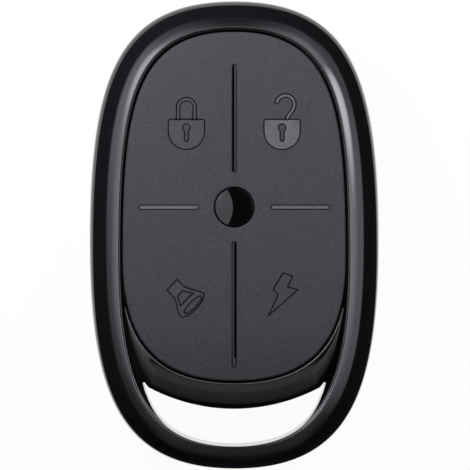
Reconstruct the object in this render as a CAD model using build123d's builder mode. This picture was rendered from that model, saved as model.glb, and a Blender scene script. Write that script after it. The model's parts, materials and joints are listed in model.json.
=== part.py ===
"""Four-key cloning remote control: a glossy ring case, a rocking key pad and a keyring loop.

Millimetres. +Z points out of the key face and +Y away from the keyring loop. The origin is the
centre of the flat back, which lies on Z = 0.
"""
from build123d import *

import math
import os
from collections import namedtuple

# An oval is drawn by four curves from its widest line to its two ends. The pulls say how squarely
# it turns: each is the length of a curve's handle as a share of the half it belongs to.
Oval = namedtuple("Oval", "half_width top bottom waist rise_pull top_pull fall_pull bottom_pull")

# Coin cell and the strap round it: they and the board set how wide the case is
cell_radius = 10.0
cell_thickness = 3.2
cell_rim_step = 0.9
cell_cap_height = 0.5
strap_width = 6.0
strap_thickness = 0.25
strap_gap = 0.55
strap_foot_length = 1.6
strap_edge_gap = 0.2
board_half_width = cell_radius + strap_gap + strap_foot_length + strap_edge_gap
board_inset = 2.6

# Ring: its width from the outer side to its inner edge, and the small step along that edge
ring_side_width = 4.0
ring_top_width = 3.77
ring_bottom_width = 2.93
ring_step_width = 0.25
ring_step_drop = 0.43

# Case
case_length = 62.0
case_width = 2 * (board_half_width + board_inset + ring_step_width + ring_side_width)
case_oval = Oval(case_width / 2, case_length / 2, -case_length / 2, -0.8, 0.686, 0.81, 0.663, 0.805)
parting_height = 5.0
wall = 1.7
floor_thickness = 1.3
back_round_width = 3.4
ring_side_height = 2.6
ring_side_draft = 0.15
ring_round_width = 5.2
ring_round_height = 4.15
round_steps = 6
round_end_turn = 85.0

# Shelf inside the ring, which carries the key deck
shelf_thickness = 1.0
shelf_width = 1.3

# Keyring loop, and the apron between it and the key pad
loop_opening = 4.89
loop_shoulder = 3.48
apron_length = 3.73
deck_nose_y = -case_length / 2 + ring_bottom_width + ring_step_width + loop_opening
loop_top_y = deck_nose_y + loop_shoulder
deck_nose_radius = 24.0
deck_corner_inset = 3.75
deck_corner_x = case_width / 2 - ring_side_width - ring_step_width - deck_corner_inset
deck_side_handle = 9.0
deck_corner_handle = 1.3
deck_wing_length = 13.33
deck_wing_y = deck_nose_y + deck_wing_length
deck_edge_round = 0.3
deck_clearance = 0.05
deck_thickness = 0.8

# Key pad
pad_gap = 0.3
pad_edge_round = 0.2
pad_inset = ring_step_width + pad_gap
pad_oval = Oval(case_width / 2 - ring_side_width - pad_inset, case_length / 2 - ring_top_width - pad_inset,
                deck_nose_y + apron_length, -3.1, 0.653, 0.907, 0.614, 0.749)
ring_oval = Oval(case_width / 2 - ring_side_width, case_length / 2 - ring_top_width,
                 -case_length / 2 + ring_bottom_width, pad_oval.waist, pad_oval.rise_pull,
                 pad_oval.top_pull, 0.70, 0.745)
pad_thickness = 2.45
pad_travel_gap = 0.75
crown_peak_lead = 2.35
crown_back_radius = 330.0
crown_side_radius = 190.0
crown_nose_length = 10.93
crown_nose_start_y = deck_nose_y + crown_nose_length
crown_nose_radius = 38.0
crown_nose_turn = 30.0
post_radius = 1.2

# Inside of the case
nose_wall = 1.43
core_oval = Oval(case_width / 2 - wall, case_length / 2 - wall, deck_nose_y + nose_wall, -2.0,
                 0.686, 0.81, 0.68, 0.56)
lip_width = 0.6
lip_height = 0.8
lip_clearance = 0.05

# Place of the cell under the board, and the spring contact between them
cell_floor_gap = 0.3
cell_seat = floor_thickness + cell_floor_gap
contact_height = 0.4
contact_radius = 4.2
contact_thickness = 0.15
contact_arm_width = 1.4
contact_tip = 0.8
contact_gap = 0.02

# Heights from the board up to the crown of the pad
board_thickness = 1.0
board_seat = cell_seat + cell_thickness + contact_height
board_top = board_seat + board_thickness
mat_height = 2.1
shelf_height = board_top + mat_height
deck_top = shelf_height + deck_thickness
pad_underside = deck_top + pad_travel_gap
crown_height = pad_underside + pad_thickness

# Rocking pivot round the lens
pivot_offset = 0.09
pivot_y = (pad_oval.top + pad_oval.bottom) / 2 - pivot_offset
crown_peak_y = pivot_y + crown_peak_lead
pivot_rise = 0.25
pivot_height = pad_underside + pivot_rise
pad_recess_cover = 1.0
pad_recess_top = crown_height - pad_recess_cover
boss_radius = 3.3
boss_top_gap = 0.35
boss_top = pad_recess_top - boss_top_gap
stem_radius = 2.25
stem_reach = 0.9
stem_foot = shelf_height - stem_reach
slide_clearance = 0.05
lens_radius = 2.63
lens_hole_radius = 2.85
lens_edge_drop = 0.1
lens_edge_height = crown_height - lens_edge_drop
lens_crown = 0.25
collar_gap = 0.1
collar_wall = 1.3
collar_height = 1.5
pin_radius = 0.4
pin_clearance = 0.04
pin_end_gap = 0.15
pad_recess_gap = 0.9
lug_length = 1.6
lug_width = 1.8
lug_drop = 0.4
lug_root = 0.4

# Keys, each under a symbol, set in from the sides and the ends of the pad
key_side_inset = 8.25
key_end_inset = 11.34
key_x = pad_oval.half_width - key_side_inset
key_reach = (pad_oval.top - pad_oval.bottom) / 2 - key_end_inset
key_names = ("arm", "disarm", "siren", "flash")
window_gap = 0.6
key_top_y = pivot_y + key_reach
key_bottom_y = pivot_y - key_reach

# Engraving in the pad: grooves that run from near the lens to near the rim, and the symbols
groove_width = 0.62
groove_depth = 0.4
groove_top_margin = 4.78
groove_bottom_margin = 1.8
groove_side_margin = 2.1
groove_upright_start = 4.4
groove_level_start = 4.75
symbol_depth = 0.22
padlock_inset = 0.12

mat_web = 0.3
mat_wall = 1.0
nub_radius = 1.3
nub_drop = 0.1
led_hole_radius = 2.6

# Switches on the board
switch_size = 5.2
switch_base_height = 0.9
switch_cover_thickness = 0.12
switch_height = 1.6
plunger_radius = 1.1
plunger_flange_radius = 1.6
plunger_flange_thickness = 0.33
plunger_clearance = 0.05
plunger_flange_gap = 0.02
switch_well_floor = 0.2
dome_thickness = 0.08
dome_rise = 0.28
dome_edge_gap = 0.1

# Lamp under the lens
led_length = 1.6
led_width = 0.8
led_base_height = 0.4
led_cap_length = 1.1
led_cap_height = 0.35
led_cap_taper = 12.0

# Flat packages with bent legs, and the rest of the parts on the board; those beside the switches
# keep their distance from them
package_stand = 0.1
package_bevel = 0.15
leg_width = 0.4
leg_thickness = 0.2
encoder_length = 4.9
encoder_width = 3.9
encoder_height = 1.5
encoder_legs = 4
encoder_pitch = 1.27
encoder_leg_reach = 1.05
encoder_drop = 4.65
encoder_y = key_bottom_y - encoder_drop
transmitter_length = 3.0
transmitter_width = 1.6
transmitter_height = 1.1
transmitter_legs = 3
transmitter_pitch = 0.95
transmitter_leg_reach = 0.7
transmitter_drop = 4.25
transmitter_y = key_top_y - transmitter_drop

resonator_size = 3.8
resonator_height = 1.3
resonator_bevel = 0.2
resonator_rise = 0.35
resonator_y = key_top_y + resonator_rise

antenna_lead = 6.35
antenna_y = key_top_y + antenna_lead
antenna_half = 4.4
antenna_rise = 1.1
antenna_wire_radius = 0.3
antenna_bend = 0.6

bead_length = 1.0
bead_width = 0.5
capacitor_height = 0.5
resistor_height = 0.35
bead_pitch = 1.8
bead_row_x = -0.5
capacitor_row_drop = 5.15
capacitor_row_y = pivot_y - capacitor_row_drop
resistor_row_drop = 7.65
resistor_row_y = pivot_y - resistor_row_drop
encoder_bead_x = 4.6
encoder_bead_drop = 5.25
encoder_bead_y = key_bottom_y - encoder_bead_drop
antenna_bead_x = 1.9
antenna_bead_rise = 3.75
antenna_bead_y = key_top_y + antenna_bead_rise

# Screws: two above the keys and two below
screw_top_spread = 0.8
screw_top_lead = 5.55
screw_bottom_spread = 2.0
screw_bottom_lead = 5.45
screw_top_x = key_x + screw_top_spread
screw_top_y = key_top_y + screw_top_lead
screw_bottom_x = key_x + screw_bottom_spread
screw_bottom_y = key_bottom_y - screw_bottom_lead
screw_places = ((-screw_top_x, screw_top_y), (screw_top_x, screw_top_y),
                (-screw_bottom_x, screw_bottom_y), (screw_bottom_x, screw_bottom_y))
screw_radius = 0.85
screw_head_radius = 1.6
screw_head_thickness = 0.9
screw_head_sink = 0.2
screw_tip_cover = 0.3
screw_tip = shelf_height - screw_tip_cover
screw_clearance = 0.15
thread_clearance = 0.02
screw_slot_length = 1.8
screw_slot_width = 0.4
screw_slot_depth = 0.45
column_radius = 2.1
screw_boss_radius = 1.8
boss_hole_gap = 0.3

above = 20.0    # reach of a cut that leaves through the top


def grown(oval, amount):
    """The same oval, larger by amount on every side."""
    return oval._replace(half_width=oval.half_width + amount, top=oval.top + amount,
                         bottom=oval.bottom - amount)


def draw_oval(oval, mode=Mode.ADD):
    """Fill an oval on the open sketch."""
    with BuildLine() as outline:
        for side in (1, -1):
            edge = (side * oval.half_width, oval.waist)
            for end, pull, end_pull in ((oval.top, oval.rise_pull, oval.top_pull),
                                        (oval.bottom, oval.fall_pull, oval.bottom_pull)):
                Bezier(edge, (edge[0], oval.waist + pull * (end - oval.waist)),
                       (edge[0] * end_pull, end), (0, end))
    make_face(outline.edges(), mode=mode)


def draw_deck(grow, mode=Mode.ADD):
    """Fill the key deck's outline: the pad's oval above, a broad arc at the nose below."""
    oval = grown(pad_oval, pad_gap + grow)
    nose_y = deck_nose_y - grow
    radius = deck_nose_radius + grow
    slope = math.asin(deck_corner_x / deck_nose_radius)
    corner_x = radius * math.sin(slope)
    corner_y = nose_y + radius - radius * math.cos(slope)
    with BuildLine() as outline:
        for side in (1, -1):
            edge = (side * oval.half_width, oval.waist)
            Bezier(edge, (edge[0], oval.waist + oval.rise_pull * (oval.top - oval.waist)),
                   (edge[0] * oval.top_pull, oval.top), (0, oval.top))
            Bezier(edge, (edge[0], oval.waist - deck_side_handle),
                   (side * (corner_x + deck_corner_handle * math.cos(slope)),
                    corner_y + deck_corner_handle * math.sin(slope)),
                   (side * corner_x, corner_y))
        ThreePointArc((-corner_x, corner_y), (0, nose_y), (corner_x, corner_y))
    make_face(outline.edges(), mode=mode)


def draw_loop_opening():
    """Fill the crescent between the ring and the nose of the deck."""
    draw_oval(grown(ring_oval, -ring_step_width))
    draw_deck(0, mode=Mode.SUBTRACT)
    with Locations((0, loop_top_y + case_length / 2)):
        Rectangle(case_width, case_length, mode=Mode.SUBTRACT)


def round_over(start, width, height, direction):
    """Heights and insets of the outline round a quarter of an ellipse."""
    turns = [step * round_end_turn / round_steps for step in range(round_steps + 1)]
    return [(start + direction * height * math.sin(math.radians(turn)),
             width * (1 - math.cos(math.radians(turn)))) for turn in turns]


def crown_body(drop, reach):
    """A thick sheet from the surface that the pad and the apron share, lowered by drop, to reach above."""
    turn = math.asin((crown_peak_y - crown_nose_start_y) / crown_back_radius)
    lead = math.asin((case_length / 2 - crown_peak_y) / crown_back_radius)
    back_centre_z = crown_height - drop - crown_back_radius
    seam_y = crown_nose_start_y
    seam_z = back_centre_z + crown_back_radius * math.cos(turn)
    nose_centre_y = seam_y + crown_nose_radius * math.sin(turn)
    nose_centre_z = seam_z - crown_nose_radius * math.cos(turn)
    seam_plane = Plane(origin=(0, seam_y, seam_z), x_dir=(1, 0, 0),
                       z_dir=(0, -math.cos(turn), -math.sin(turn)))
    sag = case_width ** 2 / (8 * crown_side_radius)
    stretches = ((Axis((0, crown_peak_y, back_centre_z), (-1, 0, 0)), math.degrees(lead + turn)),
                 (Axis((0, nose_centre_y, nose_centre_z), (1, 0, 0)), crown_nose_turn))
    with BuildPart() as body:
        for axis, arc in stretches:
            with BuildSketch(seam_plane):
                with BuildLine():
                    ThreePointArc((-case_width / 2, -sag), (0, 0), (case_width / 2, -sag))
                    Polyline((case_width / 2, -sag), (case_width / 2, reach),
                             (-case_width / 2, reach), (-case_width / 2, -sag))
                make_face()
            revolve(axis=axis, revolution_arc=arc)
    return body.part


def draw_groove(start, end):
    """Fill a round-ended groove from one point to another."""
    length = math.dist(start, end)
    lean = math.degrees(math.atan2(end[1] - start[1], end[0] - start[0]))
    with Locations(((start[0] + end[0]) / 2, (start[1] + end[1]) / 2)):
        SlotOverall(length, groove_width, rotation=lean)


def draw_padlock(centre_x, centre_y, open_shackle):
    """Fill a padlock symbol: body with a keyhole left standing, and a shackle."""
    top_y = centre_y - 0.05
    shoulder = 1.6
    half = 2.4
    eye_y = centre_y - 1.15
    eye_radius = 0.55
    slot_width = 0.7
    slot_length = 1.8
    band = 0.42
    leg = 1.65
    reach = 1.12
    swing = ((0.6, 0.0), (1.75, 2.0), (0.35, 3.2), (-0.8, 1.95))
    with BuildLine() as outline:
        Polyline((centre_x - half, top_y - shoulder), (centre_x - half, top_y),
                 (centre_x + half, top_y), (centre_x + half, top_y - shoulder))
        ThreePointArc((centre_x + half, top_y - shoulder), (centre_x, top_y - shoulder - half),
                      (centre_x - half, top_y - shoulder))
    make_face(outline.edges())
    with Locations((centre_x, eye_y)):
        Circle(eye_radius, mode=Mode.SUBTRACT)
    with Locations((centre_x, eye_y - eye_radius - band)):
        Rectangle(slot_width, slot_length, mode=Mode.SUBTRACT)
    with BuildLine() as shackle:
        if open_shackle:
            foot, knee, crest, tip = [(centre_x + x, top_y + y) for x, y in swing]
            Polyline(foot, knee)
            ThreePointArc(knee, crest, tip)
        else:
            Polyline((centre_x - reach, top_y), (centre_x - reach, top_y + leg))
            ThreePointArc((centre_x - reach, top_y + leg), (centre_x, top_y + leg + reach),
                          (centre_x + reach, top_y + leg))
            Polyline((centre_x + reach, top_y + leg), (centre_x + reach, top_y))
    trace(lines=shackle.line, line_width=band)


def draw_horn(centre_x, centre_y):
    """Fill a horn symbol seen from its side, with its cone and mouth left standing."""
    shell = [(centre_x + x, centre_y + y) for x, y in (
        (-1.1, 2.1), (-2.45, 0.75), (-1.35, -0.55), (-0.9, -2.45), (-0.3, -2.85), (2.5, 0.05),
        (1.8, 0.75), (0.0, 1.05))]
    shell_bulge = (centre_x + 1.5, centre_y - 2.05)
    cone = [(centre_x + x, centre_y + y) for x, y in (
        (-0.3, 0.7), (-1.05, -0.1), (-0.6, -1.55), (0.9, 0.0), (1.3, 0.3))]
    mouth = (centre_x + 0.84, centre_y - 1.12)
    mouth_reach = 1.55
    mouth_half_width = 0.5
    mouth_lean = 45
    with BuildLine() as outline:
        Polyline(*shell[:5])
        ThreePointArc(shell[4], shell_bulge, shell[5])
        Polyline(*shell[5:], shell[0])
    make_face(outline.edges())
    with Locations(mouth):
        Ellipse(mouth_reach, mouth_half_width, rotation=mouth_lean, mode=Mode.SUBTRACT)
    with BuildLine() as outline:
        Polyline(*cone, cone[0])
    make_face(outline.edges(), mode=Mode.SUBTRACT)


def draw_bolt(centre_x, centre_y):
    """Fill a lightning bolt symbol."""
    corners = [(centre_x + x, centre_y + y) for x, y in (
        (0.05, 2.9), (1.25, 2.4), (0.6, 1.1), (1.85, 0.7), (-2.0, -2.5), (-0.55, 0.3), (-1.25, 0.75))]
    with BuildLine() as outline:
        Polyline(*corners, corners[0])
    make_face(outline.edges())


def chip(length, width, height, legs, pitch, leg_reach, centre_y):
    """A small flat package with bent legs along both long sides, standing on the board."""
    with BuildPart() as body:
        with BuildSketch(Plane.XY.offset(board_top + package_stand)):
            with Locations((0, centre_y)):
                Rectangle(length, width)
        extrude(amount=height - package_stand)
        chamfer(body.edges().group_by(Axis.Z)[-1], package_bevel)
        for foot, rise, reach in ((board_top, leg_thickness, leg_reach),
                                  (board_top + leg_thickness, height / 2, leg_thickness)):
            with BuildSketch(Plane.XY.offset(foot)):
                with Locations((0, centre_y)):
                    with GridLocations(pitch, width + reach, legs, 2):
                        Rectangle(leg_width, reach)
            extrude(amount=rise)
    return body.part


ring_wall_oval = grown(ring_oval, -ring_step_width)
ring_section = [(height, ring_side_draft + inset) for height, inset in round_over(
    parting_height + ring_side_height, ring_round_width, ring_round_height, 1)]
back_section = [(height, inset) for height, inset in round_over(
    parting_height - floor_thickness / 2, back_round_width, parting_height - floor_thickness / 2, -1)]
ring_crest = parting_height + ring_side_height + ring_round_height
key_places = [(-key_x, key_top_y), (key_x, key_top_y), (-key_x, key_bottom_y), (key_x, key_bottom_y)]
collar_inner = boss_radius + collar_gap
collar_outer = collar_inner + collar_wall
collar_foot = pivot_height - collar_height / 2
recess_radius = collar_outer + pad_recess_gap
mat_underside = shelf_height - mat_web
pad_body = crown_body(0, -crown_height / 2)

with BuildPart() as front_frame:
    for height, inset in ((parting_height, 0.0), ring_section[0]):
        with BuildSketch(Plane.XY.offset(height)):
            draw_oval(grown(case_oval, -inset))
    loft(ruled=True)
    for height, inset in ring_section:
        with BuildSketch(Plane.XY.offset(height)):
            draw_oval(grown(case_oval, -inset))
    loft()
    with BuildSketch(Plane.XY.offset(shelf_height)):
        draw_oval(ring_wall_oval)
    extrude(amount=above, mode=Mode.SUBTRACT)
    with BuildSketch(Plane.XY.offset(ring_crest - ring_step_drop)):
        draw_oval(ring_oval)
    extrude(amount=above, mode=Mode.SUBTRACT)
    with BuildSketch(Plane.XY.offset(shelf_height - shelf_thickness)):
        draw_deck(-shelf_width)
    extrude(amount=above, mode=Mode.SUBTRACT)
    with BuildSketch(Plane.XY.offset(parting_height)):
        draw_oval(core_oval)
    extrude(amount=shelf_height - shelf_thickness - parting_height, mode=Mode.SUBTRACT)
    with BuildSketch(Plane.XY.offset(parting_height)):
        draw_loop_opening()
    extrude(amount=above, mode=Mode.SUBTRACT)
front_frame.part.label = "front_frame"

with BuildPart() as rear_shell:
    for height in (parting_height, back_section[0][0]):
        with BuildSketch(Plane.XY.offset(height)):
            draw_oval(case_oval)
    loft(ruled=True)
    for height, inset in back_section:
        with BuildSketch(Plane.XY.offset(height)):
            draw_oval(grown(case_oval, -inset))
    loft()
    with BuildSketch(Plane.XY):
        draw_oval(grown(case_oval, -back_round_width))
    extrude(amount=floor_thickness)
    with BuildSketch(Plane.XY.offset(parting_height)):
        draw_oval(grown(core_oval, -lip_clearance))
    extrude(amount=lip_height)
    with BuildSketch(Plane.XY.offset(floor_thickness)):
        draw_oval(grown(core_oval, -lip_clearance - lip_width))
    extrude(amount=above, mode=Mode.SUBTRACT)
    with BuildSketch(Plane.XY):
        draw_loop_opening()
    extrude(amount=above, mode=Mode.SUBTRACT)
    with BuildSketch(Plane.XY):
        with Locations(*screw_places):
            Circle(column_radius)
    extrude(amount=board_seat)
    with BuildSketch(Plane.XY):
        with Locations(*screw_places):
            Circle(screw_head_radius + screw_clearance)
    extrude(amount=screw_head_sink + screw_head_thickness, mode=Mode.SUBTRACT)
    with BuildSketch(Plane.XY):
        with Locations(*screw_places):
            Circle(screw_radius + screw_clearance)
    extrude(amount=board_seat, mode=Mode.SUBTRACT)
rear_shell.part.label = "rear_shell"

with BuildPart() as key_deck:
    with BuildSketch(Plane.XY.offset(shelf_height)):
        draw_deck(-deck_clearance)
    extrude(amount=deck_thickness)
    with BuildSketch(Plane.XY.offset(deck_top)):
        draw_deck(-deck_clearance)
        draw_oval(grown(pad_oval, pad_gap), mode=Mode.SUBTRACT)
        with Locations((0, deck_wing_y + case_length / 2)):
            Rectangle(case_width, case_length, mode=Mode.SUBTRACT)
    extrude(amount=above)
    add(pad_body, mode=Mode.INTERSECT)
    outer_edges = [edge for edge in key_deck.edges() if edge.center().Z > deck_top + pad_edge_round
                   and abs((edge % 0.5).Z) < 0.5 and edge.center().Y < crown_nose_start_y
                   and (edge.center().Y < deck_nose_y + pad_gap or abs(edge.center().X) > deck_corner_x)]
    fillet(outer_edges, deck_edge_round)
    with BuildSketch(Plane.XY.offset(shelf_height)):
        with Locations((0, pivot_y)):
            Circle(boss_radius)
    extrude(amount=boss_top - shelf_height)
    with BuildSketch(Plane.XY.offset(board_top)):
        with Locations(*screw_places):
            Circle(screw_boss_radius)
    extrude(amount=deck_top - board_top)
    with BuildSketch(Plane.XZ.offset(-pivot_y)):
        with Locations((0, pivot_height)):
            Circle(pin_radius)
    extrude(amount=collar_outer - pin_end_gap, both=True)
    with BuildSketch(Plane.XY.offset(shelf_height)):
        with Locations((0, pivot_y)):
            Circle(stem_radius + slide_clearance)
        with Locations(*key_places):
            Circle(post_radius + window_gap)
    extrude(amount=above, mode=Mode.SUBTRACT)
    with BuildSketch(Plane.XY.offset(board_top)):
        with Locations(*screw_places):
            Circle(screw_radius + thread_clearance)
    extrude(amount=screw_tip - board_top, mode=Mode.SUBTRACT)
key_deck.part.label = "key_deck"

with BuildPart() as grooves:
    with BuildSketch(Plane.XY.offset(pad_underside)):
        draw_groove((0, pivot_y + groove_upright_start), (0, pad_oval.top - groove_top_margin))
        draw_groove((0, pad_oval.bottom + groove_bottom_margin), (0, pivot_y - groove_upright_start))
        for side in (1, -1):
            draw_groove((side * groove_level_start, pivot_y),
                        (side * (pad_oval.half_width - groove_side_margin), pivot_y))
    extrude(amount=above)
    add(crown_body(groove_depth, crown_height / 4), mode=Mode.INTERSECT)

with BuildPart() as symbols:
    with BuildSketch(Plane.XY.offset(pad_underside)):
        draw_padlock(padlock_inset - key_x, key_places[0][1], open_shackle=False)
        draw_padlock(key_x - padlock_inset, key_places[1][1], open_shackle=True)
        draw_horn(*key_places[2])
        draw_bolt(*key_places[3])
    extrude(amount=above)
    add(crown_body(symbol_depth, crown_height / 4), mode=Mode.INTERSECT)

with BuildPart() as button_pad:
    with BuildSketch(Plane.XY.offset(pad_underside)):
        draw_oval(pad_oval)
    extrude(amount=above)
    add(pad_body, mode=Mode.INTERSECT)
    rim = [edge for edge in button_pad.edges() if edge.center().Z > pad_underside + pad_edge_round
           and abs((edge % 0.5).Z) < 0.5 and edge.geom_type == GeomType.BSPLINE]
    fillet(rim, pad_edge_round)
    add(grooves.part, mode=Mode.SUBTRACT)
    add(symbols.part, mode=Mode.SUBTRACT)
    with BuildSketch(Plane.XY.offset(pad_underside)):
        with Locations((0, pivot_y)):
            Circle(recess_radius)
    extrude(amount=pad_recess_top - pad_underside, mode=Mode.SUBTRACT)
    with BuildSketch(Plane.XY.offset(pad_underside)):
        with Locations((0, pivot_y)):
            Circle(lens_hole_radius)
    extrude(amount=above, mode=Mode.SUBTRACT)
    with BuildSketch(Plane.XY.offset(pad_underside - lug_drop)):
        for side in (1, -1):
            with Locations((side * (recess_radius + lug_length / 2), pivot_y)):
                Rectangle(lug_length, lug_width)
    extrude(amount=lug_drop + lug_root)
    for side in (1, -1):
        with BuildSketch(Plane.YZ.offset(side * (collar_inner + pin_end_gap))):
            with Locations((pivot_y, pivot_height)):
                Circle(pin_radius)
        extrude(amount=side * (recess_radius + lug_length / 2 - collar_inner))
    with BuildSketch(Plane.XY.offset(shelf_height)):
        with Locations(*key_places):
            Circle(post_radius)
    extrude(amount=pad_underside - shelf_height)
button_pad.part.label = "button_pad"

with BuildPart() as pivot_collar:
    with BuildSketch(Plane.XY.offset(collar_foot)):
        with Locations((0, pivot_y)):
            Circle(collar_outer)
            Circle(collar_inner, mode=Mode.SUBTRACT)
    extrude(amount=collar_height)
    with BuildSketch(Plane.XZ.offset(-pivot_y)):
        with Locations((0, pivot_height)):
            Circle(pin_radius + pin_clearance)
    extrude(amount=2 * collar_outer, both=True, mode=Mode.SUBTRACT)
    with BuildSketch(Plane.YZ):
        with Locations((pivot_y, pivot_height)):
            Circle(pin_radius + pin_clearance)
    extrude(amount=2 * collar_outer, both=True, mode=Mode.SUBTRACT)
pivot_collar.part.label = "pivot_collar"

lens_top = lens_edge_height + lens_crown
lens_dome_radius = (lens_radius ** 2 + lens_crown ** 2) / (2 * lens_crown)
with BuildPart() as status_lens:
    for foot, top, radius in ((stem_foot, boss_top, stem_radius), (boss_top, lens_top, lens_radius)):
        with BuildSketch(Plane.XY.offset(foot)):
            with Locations((0, pivot_y)):
                Circle(radius)
        extrude(amount=top - foot)
    with Locations((0, pivot_y, lens_top - lens_dome_radius)):
        Sphere(lens_dome_radius, mode=Mode.INTERSECT)
status_lens.part.label = "status_lens"

with BuildPart() as circuit_board:
    with BuildSketch(Plane.XY.offset(board_seat)):
        draw_deck(-board_inset)
        with Locations(*screw_places):
            Circle(screw_radius + screw_clearance, mode=Mode.SUBTRACT)
    extrude(amount=board_thickness)
circuit_board.part.label = "circuit_board"

with BuildPart() as keypad_mat:
    with BuildSketch(Plane.XY.offset(board_top)):
        draw_deck(-board_inset)
    extrude(amount=shelf_height - board_top)
    with BuildSketch(Plane.XY.offset(board_top)):
        draw_deck(-board_inset - mat_wall)
    extrude(amount=mat_underside - board_top, mode=Mode.SUBTRACT)
    with BuildSketch(Plane.XY.offset(mat_underside - nub_drop)):
        with Locations(*key_places):
            Circle(nub_radius)
    extrude(amount=nub_drop)
    with BuildSketch(Plane.XY.offset(board_top)):
        with Locations(*screw_places):
            Circle(screw_boss_radius + boss_hole_gap)
        with Locations((0, pivot_y)):
            Circle(led_hole_radius)
    extrude(amount=above, mode=Mode.SUBTRACT)
keypad_mat.part.label = "keypad_mat"

with BuildPart() as case_screws:
    with BuildSketch(Plane.XY.offset(screw_head_sink)):
        with Locations(*screw_places):
            Circle(screw_head_radius)
    extrude(amount=screw_head_thickness)
    with BuildSketch(Plane.XY.offset(screw_head_sink + screw_head_thickness)):
        with Locations(*screw_places):
            Circle(screw_radius)
    extrude(amount=screw_tip - screw_head_sink - screw_head_thickness)
    with BuildSketch(Plane.XY.offset(screw_head_sink)):
        with Locations(*screw_places):
            Rectangle(screw_slot_length, screw_slot_width)
        with Locations(*screw_places):
            Rectangle(screw_slot_width, screw_slot_length)
    extrude(amount=screw_slot_depth, mode=Mode.SUBTRACT)
case_screws.part.label = "case_screws"

with BuildPart() as switch_bases:
    with BuildSketch(Plane.XY.offset(board_top)):
        with Locations(*key_places):
            Rectangle(switch_size, switch_size)
    extrude(amount=switch_base_height)
    with BuildSketch(Plane.XY.offset(board_top + switch_well_floor)):
        with Locations(*key_places):
            Circle(plunger_flange_radius + 2 * plunger_clearance)
    extrude(amount=switch_base_height, mode=Mode.SUBTRACT)
switch_bases.part.label = "switch_bases"

cover_foot = board_top + switch_base_height
with BuildPart() as switch_covers:
    with BuildSketch(Plane.XY.offset(cover_foot)):
        with Locations(*key_places):
            Rectangle(switch_size, switch_size)
        with Locations(*key_places):
            Circle(plunger_radius + plunger_clearance, mode=Mode.SUBTRACT)
    extrude(amount=switch_cover_thickness)
switch_covers.part.label = "switch_covers"

plungers = []
flange_top = cover_foot - plunger_flange_gap
for key_name, key_place in zip(key_names, key_places):
    with BuildPart() as plunger:
        with BuildSketch(Plane.XY.offset(flange_top - plunger_flange_thickness)):
            with Locations(key_place):
                Circle(plunger_flange_radius)
        extrude(amount=plunger_flange_thickness)
        with BuildSketch(Plane.XY.offset(flange_top)):
            with Locations(key_place):
                Circle(plunger_radius)
        extrude(amount=board_top + switch_height - flange_top)
    plunger.part.label = key_name + "_switch_plunger"
    plungers.append(plunger.part)

dome_seat = board_top + switch_well_floor
dome_reach = plunger_flange_radius - dome_edge_gap
dome_radius = (dome_reach ** 2 + dome_rise ** 2) / (2 * dome_rise)
with BuildPart() as snap_domes:
    with Locations(*[(x, y, dome_seat + dome_rise - dome_radius) for x, y in key_places]):
        Sphere(dome_radius)
        Sphere(dome_radius - dome_thickness, mode=Mode.SUBTRACT)
    with Locations((0, 0, dome_seat + dome_rise / 2)):
        Box(case_width, case_length, dome_rise, mode=Mode.INTERSECT)
snap_domes.part.label = "snap_domes"

with BuildPart() as coin_cell:
    with BuildSketch(Plane.XY.offset(cell_seat)):
        with Locations((0, pivot_y)):
            Circle(cell_radius)
    extrude(amount=cell_thickness - cell_cap_height)
    with BuildSketch(Plane.XY.offset(cell_seat + cell_thickness - cell_cap_height)):
        with Locations((0, pivot_y)):
            Circle(cell_radius - cell_rim_step)
    extrude(amount=cell_cap_height)
coin_cell.part.label = "coin_cell"

leg_x = cell_radius + strap_gap
strap_foot = cell_seat - strap_thickness
leg_top = board_seat - strap_thickness
foot_x = leg_x + strap_foot_length
with BuildPart() as battery_clip:
    with BuildSketch(Plane.XZ.offset(-pivot_y)):
        with BuildLine():
            for side in (1, -1):
                Polyline((0, strap_foot), (side * (leg_x + strap_thickness), strap_foot),
                         (side * (leg_x + strap_thickness), leg_top),
                         (side * foot_x, leg_top), (side * foot_x, board_seat),
                         (side * leg_x, board_seat),
                         (side * leg_x, cell_seat), (0, cell_seat))
        make_face()
    extrude(amount=strap_width / 2, both=True)
battery_clip.part.label = "battery_clip"

arm_root = contact_radius - contact_arm_width
tip_foot = cell_seat + cell_thickness + contact_gap
with BuildPart() as battery_contact:
    with BuildSketch(Plane.XY.offset(board_seat - contact_thickness)):
        with Locations((0, pivot_y)):
            Circle(contact_radius)
            Circle(arm_root, mode=Mode.SUBTRACT)
    extrude(amount=contact_thickness)
    with BuildSketch(Plane.XZ.offset(-pivot_y)):
        with BuildLine():
            for side in (1, -1):
                Polyline((0, tip_foot), (side * contact_tip, tip_foot),
                         (side * arm_root, board_seat - contact_thickness),
                         (side * contact_radius, board_seat - contact_thickness),
                         (side * contact_radius, board_seat), (side * arm_root, board_seat),
                         (side * contact_tip, tip_foot + contact_thickness),
                         (0, tip_foot + contact_thickness))
        make_face()
    extrude(amount=contact_arm_width / 2, both=True)
battery_contact.part.label = "battery_contact"

with BuildPart() as status_led:
    with BuildSketch(Plane.XY.offset(board_top)):
        with Locations((0, pivot_y)):
            Rectangle(led_length, led_width)
    extrude(amount=led_base_height)
    with BuildSketch(Plane.XY.offset(board_top + led_base_height)):
        with Locations((0, pivot_y)):
            Rectangle(led_cap_length, led_width)
    extrude(amount=led_cap_height, taper=led_cap_taper)
status_led.part.label = "status_led"

encoder_chip = chip(encoder_length, encoder_width, encoder_height, encoder_legs, encoder_pitch,
                    encoder_leg_reach, encoder_y)
encoder_chip.label = "encoder_chip"
transmitter_chip = chip(transmitter_length, transmitter_width, transmitter_height, transmitter_legs,
                        transmitter_pitch, transmitter_leg_reach, transmitter_y)
transmitter_chip.label = "transmitter_chip"

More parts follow.
